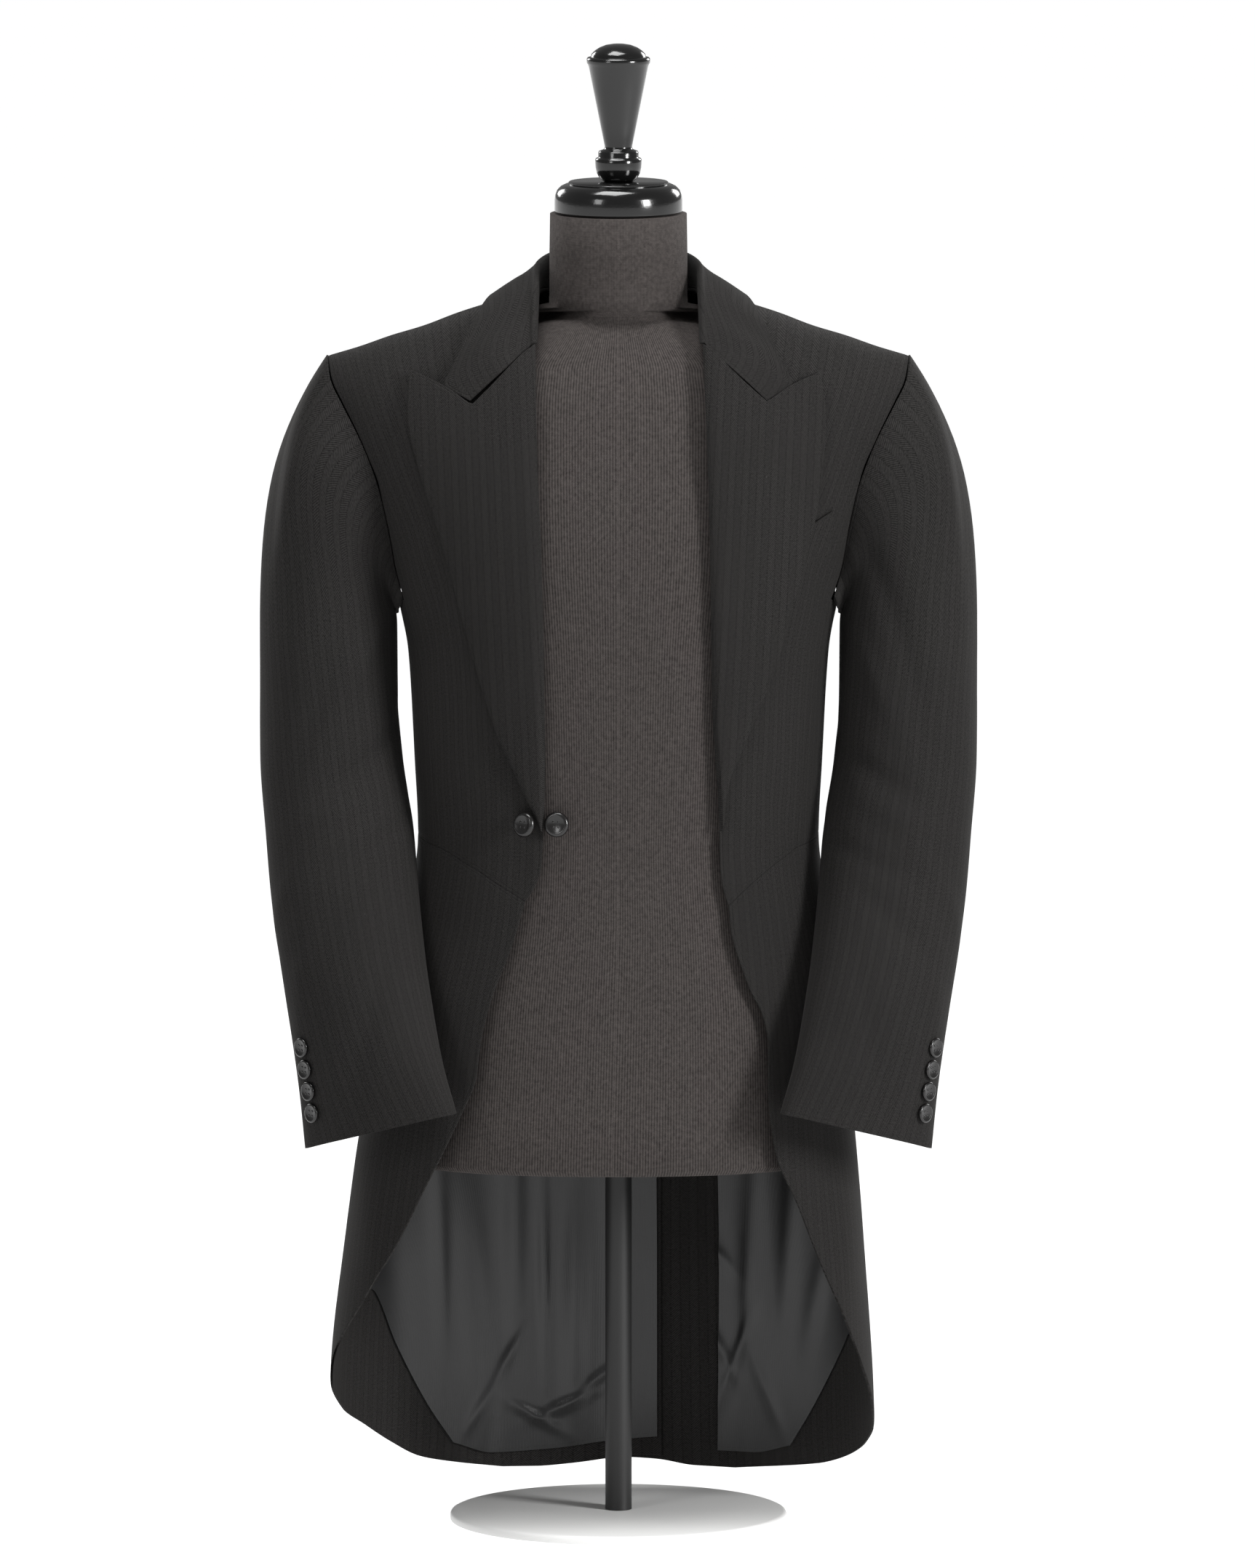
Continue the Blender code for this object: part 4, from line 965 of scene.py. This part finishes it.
@dataclass
class Tail:
    """The skirt of one side and the lining inside it."""

    side: Side
    surface: BodySurface
    step: float = 7.5

    def skirt(self) -> None:
        """Makes the skirt, from the cutaway edge to the seam beside the back."""
        side, sign = self.side, self.side.sign
        front = Edge.drawn(CUTAWAY[side]).back()
        seam = Edge.drawn(TAIL_SEAM, Face.BACK, sign).back()
        waist = Edge.joined(Edge.drawn(WAIST_FRONT[side]), Edge.drawn(WAIST_BEHIND, sign=sign))
        grid = spread(front, seam, Edge.drawn(HEM_CORNER[side]), waist, self.step)
        panel(f"skirt_{side.value}", grid, self.surface).build()

    def lining(self) -> None:
        """Makes the lining, with its own upright folds."""
        side, sign = self.side, self.side.sign
        top = ((*LINING_EDGE[side][0][:2], F), (sign * 205, 336, S), (sign * 150, 332, B),
               (LINING_VENT[side][-1][0], 330, B))
        vent = Edge.drawn(LINING_VENT[side], Face.BACK).around(sign)
        hem = Edge.drawn(LINING_HEM[side], Face.BACK).around(sign)
        grid = spread(Edge.drawn(LINING_EDGE[side]).back(), vent, hem, Edge.drawn(top).around(sign), 4.0)
        folds = BodySurface(LINING_CREASES)

        def deeper(flat: np.ndarray) -> np.ndarray:
            """How far the lining stands in from the coat: its folds, and the lap of the vent under it."""
            lap = np.clip((flat[..., 0] + 24) / 22, 0, 1) if side is Side.LEFT else 0.0
            return -np.maximum(folds.relief(flat), -0.6) - (CLOTH + 0.3) * lap * lap * (3 - 2 * lap)

        panel(f"lining_{side.value}", grid, self.surface, -CLOTH - 1.2, LINING, "lining_satin", tuck=-0.4,
              extra=deeper).build()

    def underlap(self) -> None:
        """Makes the lap of the centre vent, which runs from the left tail in behind the right one."""
        wide = 36.5
        low, high = HEM_TAIL[Side.RIGHT][-1][1] + 1.5, 420
        lines = [Edge.drawn(tuple((x, z) for z in (low, 160, 290, high)), Face.BACK) for x in (0.01, wide)]
        ends = [Edge.drawn(((0.01, z), (0.5 * wide, z), (wide, z)), Face.BACK) for z in (low, high)]
        sheet = panel("vent_underlap", spread(*lines, *ends, 4.0), self.surface, -CLOTH - 0.4, tuck=0.0)
        sheet.node = ""
        sheet.build()


@dataclass
class Lapel:
    """A peaked lapel, rolled open along its crease."""

    side: Side
    surface: BodySurface
    roll: tuple[Row, ...] = ((0, 0.3), (0.035, 2.0), (0.1, 3.8), (0.3, 4.5), (0.6, 4.2), (1, 3.0))

    def build(self) -> None:
        """Makes the lapel on the forepart's own surface, moved out."""
        side = self.side
        peak = Edge.joined(Edge.drawn(GORGE[side]), Edge.drawn(PEAK[side]))
        foot = Edge.drawn((CREASE[side][0], LAPEL_EDGE[side][0]))
        edge = Edge.drawn((*LAPEL_EDGE[side][:-1], PEAK[side][-1]))
        grid = spread(Edge.drawn(CREASE[side]), edge, foot, peak, 5.0)
        wide = max(foot.length()[-1], peak.length()[-1])
        out = CLOTH + 0.4 + smooth(self.roll, shares(wide, 5.0))[0]
        flat = FLAT.skin(grid[..., 0], grid[..., 1])
        grain = np.stack([flat[..., 0] - side.sign * 0.05 * (flat[..., 2] - 600), flat[..., 2] * 1.02], axis=-1)
        panel(f"lapel_{side.value}", grid, self.surface, out[None, :], grain=grain, tuck=0.5).build()


@dataclass
class Collar:
    """The collar, folded over its stand from gorge to gorge."""

    def lines(self, sign: int) -> np.ndarray:
        """Section lines of one half: stand, inside of the fold, fold, fall and outer edge."""
        fold, stand = np.array(COLLAR_FOLD, float), np.array(COLLAR_STAND, float)
        edge = []
        for x, z, face in COLLAR_EDGE:
            if face is Face.SIDE:
                edge.append(np.array((x, 3.0, z + 7.0)))
                continue
            edge.append(FLAT.spot(x, z, 3.4, face))
        rim = np.array(edge)
        sag = 1.0 - 3.4 * 0.3 ** np.arange(len(fold))
        fall = np.array([self.lifted(0.5 * (a + b) + (0, 0, c), 7.0) for a, b, c in zip(fold, rim, sag)])
        outward = rim - fold
        outward[:, 2] = 0
        outward /= np.linalg.norm(outward, axis=1, keepdims=True)
        up = np.array((0, 0, 1.0))
        rows = [stand, fold * 0.8 + stand * 0.2 - outward * 0.5, fold + outward * 0.2 + up * 0.2,
                fold + outward * 1.8 + up * 0.5, fold + outward * 4.2 - up * 2.4, fall, rim]
        return np.stack(rows) * (sign, 1, 1)

    @staticmethod
    def lifted(point: np.ndarray, out: float) -> np.ndarray:
        """A point pushed out of the coat's face, if it lies within it."""
        x, y, z = (float(v) for v in point)
        if z >= float(FLAT.ridge(x)) - 0.5:
            return point
        pushed = FLAT.spot(x, z, out, Face.BACK if y > 0 else Face.FRONT)
        return pushed if abs(pushed[1]) > abs(y) else point

    def build(self) -> None:
        """Makes the collar from its section lines."""
        lines = np.concatenate([self.lines(-1), self.lines(1)[:, ::-1][:, 1:]], axis=1)
        for axis, count in ((1, 110), (0, 30)):
            moved = np.moveaxis(lines, axis, 0)
            keys = np.linspace(0, 1, moved.shape[0])
            table = np.column_stack([keys, moved.reshape(moved.shape[0], -1)])
            at = np.concatenate([[0, 0.006, 0.014], np.linspace(0.025, 0.975, count), [0.986, 0.994, 1]])
            fine = np.stack(smooth(table, at), axis=1).reshape(len(at), *moved.shape[1:])
            lines = np.moveaxis(fine, 0, axis)
        normal = normals_of(lines)
        grain = np.stack([travelled(lines), travelled(lines, 1)], axis=-1)
        ClothSheet("collar", drawn_in(lines + normal, 0.4), drawn_in(lines - normal, 0.4), grain).build()


@dataclass
class Sleeve:
    """A two-piece sleeve from the armhole to the open cuff, with its buttons.

    Args:
        side: Which side.
        count: Points round it.
        head: Rings in the sleeve head.
        twist: Degrees that its seams turn on the way down.
    """

    side: Side
    count: int = 96
    head: int = 22
    twist: float = 85.0
    front_seam: int = 36
    back_seam: int = 80

    def point(self, z: float, angle: np.ndarray, out: float = 0.0) -> np.ndarray:
        """Points on the sleeve at a height: angle 0 is its outer side and a quarter turn its front."""
        x, y, long, thick, turn = (float(v) for v in smooth(SLEEVE[::-1], z))
        turn = math.radians(turn)
        way = np.array((math.cos(turn), math.sin(turn), 0))
        front = np.array((math.sin(turn), -math.cos(turn), 0))
        angle = np.asarray(angle, float)[..., None]
        drop = CUFF_TILT * min(1.0, max(0.0, (480 - z) / (480 - CUFF)))
        at = np.array((x, y, z)) - drop * np.cos(angle) * np.array((0, 0, 1.0))
        at = at + (long + out) * np.cos(angle) * way + (thick + out) * np.sin(angle) * front
        return at * (self.side.sign, 1, 1)

    def loop(self) -> tuple[np.ndarray, np.ndarray]:
        """The armhole's points and normals, down the front and up the back."""
        sign = self.side.sign
        run = Edge.joined(Edge.drawn(ARM_FRONT, sign=sign).back(), Edge.drawn(UNDER_ARM, sign=sign),
                          Edge.drawn(ARM_BACK, Face.BACK, sign)).points
        at = FLAT.skin(run[:, 0], run[:, 1])
        normal = FLAT.skin(run[:, 0], run[:, 1], np.ones(len(run))) - at
        far = travelled(at)
        even = np.linspace(0, far[-1], self.count + 1)[:-1]
        pick = [np.interp(even, far, values[:, k]) for values in (at, normal) for k in range(3)]
        return np.stack(pick[:3], axis=1), np.stack(pick[3:], axis=1)

    def rings(self) -> tuple[np.ndarray, np.ndarray]:
        """The sleeve's rings from the cuff up to the armhole, and the angle of each point in degrees."""
        sign = self.side.sign
        start, normal = self.loop()
        angle = 2 * math.pi * np.arange(self.count) / self.count
        levels = np.concatenate([np.linspace(SLEEVE_TOP, 352, 74), [346, 343.5, 342, CUFF]])
        turn_head = math.radians(self.twist) * 6 / 14
        end = self.point(SLEEVE_TOP, angle + turn_head)
        upper = np.maximum(0, np.cos(angle)) ** 4
        tucked = 0.16 * np.minimum(0, np.cos(angle))
        away = np.stack([sign * (0.75 + 0.25 * np.cos(angle) - 0.42 * upper + tucked), -0.3 * np.sin(angle),
                         -0.5 + 0.42 * np.cos(angle) - 0.77 * upper], axis=1)
        away /= np.linalg.norm(away, axis=1, keepdims=True)
        seat = (sign * 1.6 * np.sqrt(upper))[:, None] * np.array((1.0, 0, 0))
        first = start - 0.35 * away + 0.4 * normal + seat
        far = np.linalg.norm(end - first, axis=1, keepdims=True)
        second = first + away * far * 0.36
        third = end + np.array((0, 0, 1.0)) * 0.42 * far
        rings, angles = [], []
        for step in range(self.head):
            share = (step / self.head) ** 1.25
            a, b = 1 - share, share
            rings.append(a**3 * first + 3 * a * a * b * second + 3 * a * b * b * third + b**3 * end)
            angles.append(np.degrees(angle + turn_head * share))
        whole = math.radians(self.twist)
        for level in levels:
            turned = turn_head + (whole - turn_head) * (SLEEVE_TOP - level) / (SLEEVE_TOP - CUFF)
            rings.append(self.point(level, angle + turned))
            angles.append(np.degrees(angle + turned))
        return np.array(rings)[::-1], np.array(angles)[::-1]

    def relief(self, rings: np.ndarray, angles: np.ndarray) -> np.ndarray:
        """How far the sleeve's creases move each point out."""
        moved = np.zeros(rings.shape[:2])
        for crease in SLEEVE_CREASES[self.side]:
            moved += crease.lift(((angles - crease.x + 180) % 360 - 180) * 0.95, rings[..., 2] - crease.z)
        fade = np.clip((np.arange(len(rings))[::-1] - 3) / 12, 0, 1)[:, None]
        return moved * fade

    @staticmethod
    def normals(rings: np.ndarray, centre: np.ndarray) -> np.ndarray:
        """Unit normals of closed rings, away from their centres."""
        around = np.concatenate([rings[:, -4:], rings, rings[:, :4]], axis=1)
        normal = normals_of(around)[:, 4:-4]
        return normal * np.sign(np.sum(normal[:60] * (rings - centre)[:60]))

    def build(self) -> None:
        """Makes the top and under sleeve and the cuff buttons."""
        rings, angles = self.rings()
        centre = rings.mean(axis=1, keepdims=True)
        outer = rings + self.relief(rings, angles)[..., None] * self.normals(rings, centre)
        inner = outer - CLOTH * self.normals(outer, centre)
        down = travelled(rings).mean(axis=1)
        top = list(range(self.back_seam, self.count)) + list(range(self.front_seam + 1))
        under = list(range(self.front_seam, self.back_seam + 1))
        for name, columns in (("top", top), ("under", under)):
            across = np.arange(len(columns)) * SLEEVE_COLUMN
            weave = np.stack(np.meshgrid(across, down), axis=-1)
            faces = (drawn_in(face[:, columns], 0.16) for face in (outer, inner))
            held_by = (f"forepart_{self.side.value}_cloth",)
            ClothSheet(f"{name}_sleeve_{self.side.value}", *faces, weave, rests_on=held_by).build()
        for number, z in enumerate(CUFF_BUTTON_HEIGHTS, 1):
            facing = np.array((self.side.sign * 0.77, -0.64, 0.0))
            at = self.point(z + 12, np.array(math.radians(CUFF_BUTTON_ANGLE))) + facing * 0.9
            Button(f"cuff_button_{self.side.value}_{number}", CUFF_BUTTON, at, facing, holes=1.9).build()


@dataclass
class Button:
    """A turned button, with four thread-filled holes if it has any.

    Args:
        name: The CAD node it stands for.
        profile: (radius, height) rows from its back to its face.
        at: The point that it stands on.
        facing: The way it faces.
        holes: Distance of the holes from its middle, or 0 for none.
        lift: Gap under it.
        shank: Height of the thread shank under it.
    """

    name: str
    profile: Sequence[Row]
    at: np.ndarray
    facing: np.ndarray
    holes: float = 0.0
    lift: float = 0.4
    shank: float = 0.0
    count: int = 40

    def frame(self) -> tuple[np.ndarray, np.ndarray, np.ndarray]:
        """The button's own axes: across, up and facing."""
        facing = np.array(self.facing, float) / np.linalg.norm(self.facing)
        across = np.cross(facing, (0, 0, 1.0))
        across /= np.linalg.norm(across)
        return across, np.cross(across, facing), facing

    def lathe(
        self, rows: Sequence[Row], middle: tuple[float, float] = (0, 0)
    ) -> tuple[np.ndarray, list[tuple[int, ...]]]:
        """Points and faces of a profile turned about a point of the button's face."""
        across, up, facing = self.frame()
        points: list[np.ndarray] = []
        rings: list[list[int]] = []
        for radius, rise in rows:
            base = np.array(self.at, float) + facing * (self.lift + rise) + middle[0] * across + middle[1] * up
            count = 1 if radius == 0 else self.count
            rings.append(list(range(len(points), len(points) + count)))
            for k in range(count):
                angle = 2 * math.pi * k / self.count
                points.append(base + radius * (math.cos(angle) * across + math.sin(angle) * up))
        return np.array(points), turned_faces(rings, self.count)

    def build(self) -> None:
        """Makes the button and hides its CAD node."""
        rows = [(r, z + self.shank) for r, z in self.profile]
        if self.shank:
            rows = [(0, 0), (2.2, 0), (1.9, self.shank * 0.5), (2.2, self.shank)] + rows[1:]
        points, faces = self.lathe(rows)
        top = rows[-1][1]
        parts = [(points, faces)]
        if self.holes:
            for x, y in ((1, 1), (1, -1), (-1, 1), (-1, -1)):
                spot = (x * self.holes, y * self.holes)
                knot = ((0, top + 0.05), (1.0, top + 0.05), (0.9, top + 0.3), (0, top + 0.42))
                parts.append(self.lathe(knot, spot))
        offset, all_points, all_faces = 0, [], []
        for some, shapes in parts:
            all_points.append(some)
            all_faces += [tuple(i + offset for i in shape) for shape in shapes]
            offset += len(some)
        held = make(self.name + "_horn", np.concatenate(all_points), all_faces, "button_horn")
        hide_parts(self.name)
        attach(held, "root")


@dataclass
class Trimmings:
    """The breast welt, link buttons and back waist buttons."""

    surface: BodySurface

    def welt(self) -> None:
        """Makes the breast pocket's welt on the forepart's own surface."""
        low, high = (Edge.drawn(row) for row in WELT)
        start = Edge(np.array([low.points[0], high.points[0]]))
        end = Edge(np.array([low.points[-1], high.points[-1]]))
        panel("breast_welt", spread(start, end, low, high, 4.0), self.surface, CLOTH + 0.7, tuck=0.9).build()

    def build(self) -> None:
        """Makes them all."""
        self.welt()
        for name, x, foot, facing in (("link_button_outer", -72.0, 0.4, (-0.62, -0.76, 0.12)),
                                      ("link_button_inner", -49.5, -FORM_INSET, (-0.25, -0.96, 0.1))):
            at = FLAT.spot(x, LINK_HEIGHT, foot)
            Button(name, LINK_BUTTON, at, np.array(facing), holes=2.2, lift=1.1, shank=LINK_SHANK).build()
        for side in Side:
            x, z = side.sign * WAIST_BUTTON_AT[0], WAIST_BUTTON_AT[1]
            at = FLAT.spot(x, z, face=Face.BACK)
            facing = FLAT.spot(x, z, 1.0, Face.BACK) - at
            Button(f"waist_button_{side.value}", WAIST_BUTTON, at + 0.15 * facing, facing, holes=2.0).build()


@dataclass
class DressForm:
    """The limbless form inside the coat, with its neck."""

    count: int = 96

    def ring(self, z: float) -> list[tuple[float, float, float]]:
        """One level ring, from the front centre round by +X."""
        half, _, _, centre = (float(v) for v in smooth(BODY, z))
        wide = min(half - float(smooth(FORM_EASE, z)[0]), float(smooth(FORM_SIDE, z)[0]))
        if z > 940:
            xs = np.linspace(0, 275, 600)
            under = xs[FLAT.ridge(xs) > z + 5.5]
            wide = min(wide, float(under[-1]) - 1.0 if len(under) else 70.0)
        shift = 0.0 if z > 500 else centre * 0.5
        ring = []
        for k in range(self.count):
            angle = 2 * math.pi * k / self.count
            x = shift + wide * float(power(np.array(math.sin(angle)), 0.9))
            face = Face.FRONT if math.cos(angle) >= 0 else Face.BACK
            reach = (x - shift) / wide * (half - 1.0)
            t, h = FLAT.place(reach + centre, min(z + 2.8, float(FLAT.ridge(reach)) - 0.01), face)
            depth = abs(float(FLAT.base(np.array(t), np.array(h))[1]))
            inset = FORM_INSET + 4.5 * min(1.0, max(0.0, (z - 840) / 60))
            depth = max(depth - inset, 0.3 * depth, 0.8 * abs(math.cos(angle))) * (1.0 if z > 600 else 0.97)
            if z < 308:
                depth *= 1 - 0.012 * (308 - z)
                x *= 1 - 0.004 * (308 - z)
            ring.append((x, -depth if face is Face.FRONT else depth, z))
        return ring

    def build(self) -> None:
        """Makes the form in one smooth piece."""
        rings = [self.ring(z) for z in FORM_RINGS]
        turn = 2 * math.pi * np.arange(self.count) / self.count
        for z, radius in NECK:
            rings.append([(radius * math.sin(a), -radius * math.cos(a) - 1.5, z) for a in turn])
        points = np.array(rings)
        faces = []
        for low in range(len(rings) - 1):
            for k in range(self.count):
                a, b = low * self.count + k, low * self.count + (k + 1) % self.count
                faces.append((a, b, b + self.count, a + self.count))
        last = (len(rings) - 1) * self.count
        faces.append(tuple(range(self.count))[::-1])
        faces.append(tuple(last + k for k in range(self.count)))
        held = make("dress_form_jersey", points.reshape(-1, 3), faces, "form_jersey")
        u = travelled(np.concatenate([points, points[:, :1]], axis=1), 1)
        u = u / u[:, -1:] * 1100.0
        layer = held.data.uv_layers.new(name="grain")
        for polygon in held.data.polygons[: (len(rings) - 1) * self.count]:
            row, k = divmod(polygon.index, self.count)
            corners = ((row, k), (row, k + 1), (row + 1, k + 1), (row + 1, k))
            for corner, (i, j) in zip(polygon.loop_indices, corners):
                layer.data[corner].uv = (u[i, j], points[i, 0, 2])
        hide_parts("dress_form")
        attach(held, "root")


@dataclass(frozen=True)
class Turned:
    """A piece turned on a lathe about the form's upright axis.

    Args:
        name: The CAD node it stands for.
        profile: (radius, height) rows that start and end on the axis.
        slot: The record slot of its finish.
        y: Where its axis stands.
    """

    name: str
    profile: Sequence[Row]
    slot: str
    y: float = -1.5
    count: int = 96

    def build(self) -> None:
        """Makes it and hides its CAD node."""
        points: list[tuple[float, float, float]] = []
        rings: list[list[int]] = []
        for radius, z in self.profile:
            number = 1 if radius == 0 else self.count
            rings.append(list(range(len(points), len(points) + number)))
            for k in range(number):
                angle = 2 * math.pi * k / self.count
                points.append((radius * math.cos(angle), self.y + radius * math.sin(angle), z))
        faces = turned_faces(rings, self.count)
        held = make(self.name + "_turned", np.array(points), faces, self.slot)
        held.data.set_sharp_from_angle(angle=math.radians(47))
        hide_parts(self.name)
        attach(held, "root")
        log.info("%s: %d faces", self.name, len(faces))


@dataclass(frozen=True)
class SoftLight:
    """A soft area light aimed at the coat.

    Args:
        name: Its name.
        at: Its place in metres.
        wide: Width.
        tall: Height.
        power: Power in watts.
    """

    name: str
    at: tuple[float, float, float]
    wide: float
    tall: float
    power: float

    def build(self) -> None:
        """Makes the light."""
        data = bpy.data.lights.new(self.name, "AREA")
        data.shape, data.size, data.size_y, data.energy = "RECTANGLE", self.wide, self.tall, self.power
        held = bpy.data.objects.new(self.name, data)
        bpy.context.scene.collection.objects.link(held)
        held.location = self.at
        held.rotation_euler = (Vector((0, 0, 0.65)) - Vector(self.at)).to_track_quat("-Z", "Y").to_euler()


SOFT_LIGHTS = (
    SoftLight("soft_box_left", (-2.6, -3.4, 2.3), 1.0, 1.6, 30),
    SoftLight("soft_box_right", (3.4, -2.6, 1.9), 1.0, 1.6, 190),
    SoftLight("top", (-0.3, -0.4, 3.6), 1.6, 1.6, 85),
    SoftLight("back_fill_left", (-2.4, 3.4, 2.2), 1.4, 1.4, 36),
    SoftLight("back_fill_right", (2.4, 3.4, 2.2), 1.4, 1.4, 44),
)


@dataclass
class Studio:
    """A pale floor, soft studio light and the photo's camera.

    Args:
        distance: Of the camera from the coat in metres.
        elevation: Of the camera in degrees.
        aim: The point that it looks at.
        tall: What its sensor's width spans at the coat in metres.
        far: Half the floor's side.
        fill: Strength of the even light from all round.
    """

    distance: float = 16.0
    elevation: float = 7.0
    aim: tuple[float, float, float] = (0.0075, 0.0, 0.6165)
    tall: float = 1.300
    far: float = 40.0
    fill: float = 0.22

    def camera(self) -> None:
        """Places the camera at the photo's viewing angle."""
        data = bpy.data.cameras.new("camera")
        data.sensor_width = 36.0
        data.lens = 36.0 * self.distance / self.tall
        data.clip_end = 100.0
        held = bpy.data.objects.new("camera", data)
        bpy.context.scene.collection.objects.link(held)
        rise = math.radians(self.elevation)
        aim = Vector(self.aim)
        held.location = aim + Vector((0, -math.cos(rise), math.sin(rise))) * self.distance
        held.rotation_euler = (aim - held.location).to_track_quat("-Z", "Y").to_euler()
        bpy.context.scene.camera = held

    def build(self) -> None:
        """Makes the floor, world, lights and camera."""
        scene = bpy.context.scene
        world = bpy.data.worlds.new("studio")
        scene.world = world
        world.use_nodes = True
        back = world.node_tree.nodes["Background"]
        back.inputs["Color"].default_value = (1, 1, 1, 1)
        back.inputs["Strength"].default_value = self.fill
        scene.view_settings.view_transform = "Standard"
        mesh = bpy.data.meshes.new("floor")
        far = self.far
        mesh.from_pydata([(-far, -far, 0), (far, -far, 0), (far, far, 0), (-far, far, 0)], [], [(0, 1, 2, 3)])
        floor = bpy.data.objects.new("floor", mesh)
        scene.collection.objects.link(floor)
        mesh.materials.append(Gloss("floor_white", (0.22, 0.22, 0.22), 0.9, glow=0.94).build())
        for light in SOFT_LIGHTS:
            light.build()
        self.camera()


def main() -> None:
    """Builds the coat, form, stand and studio in order."""
    surface = BodySurface(BODY_CREASES)
    Studio().build()
    DressForm().build()
    for piece in (Turned("neck_cap", CAP, "cap_lacquer"), Turned("finial", FINIAL, "cap_lacquer"),
                  Turned("pole", POLE, "pole_metal", 0.0), Turned("base", BASE, "base_metal", 0.0)):
        piece.build()
    for side in Side:
        Bodice(side, surface).build()
        tail = Tail(side, surface)
        tail.skirt()
        tail.lining()
        if side is Side.LEFT:
            tail.underlap()
        Lapel(side, surface).build()
        Sleeve(side).build()
    Collar().build()
    Trimmings(surface).build()
    bpy.context.view_layer.update()


if __name__ == "__main__":
    main()
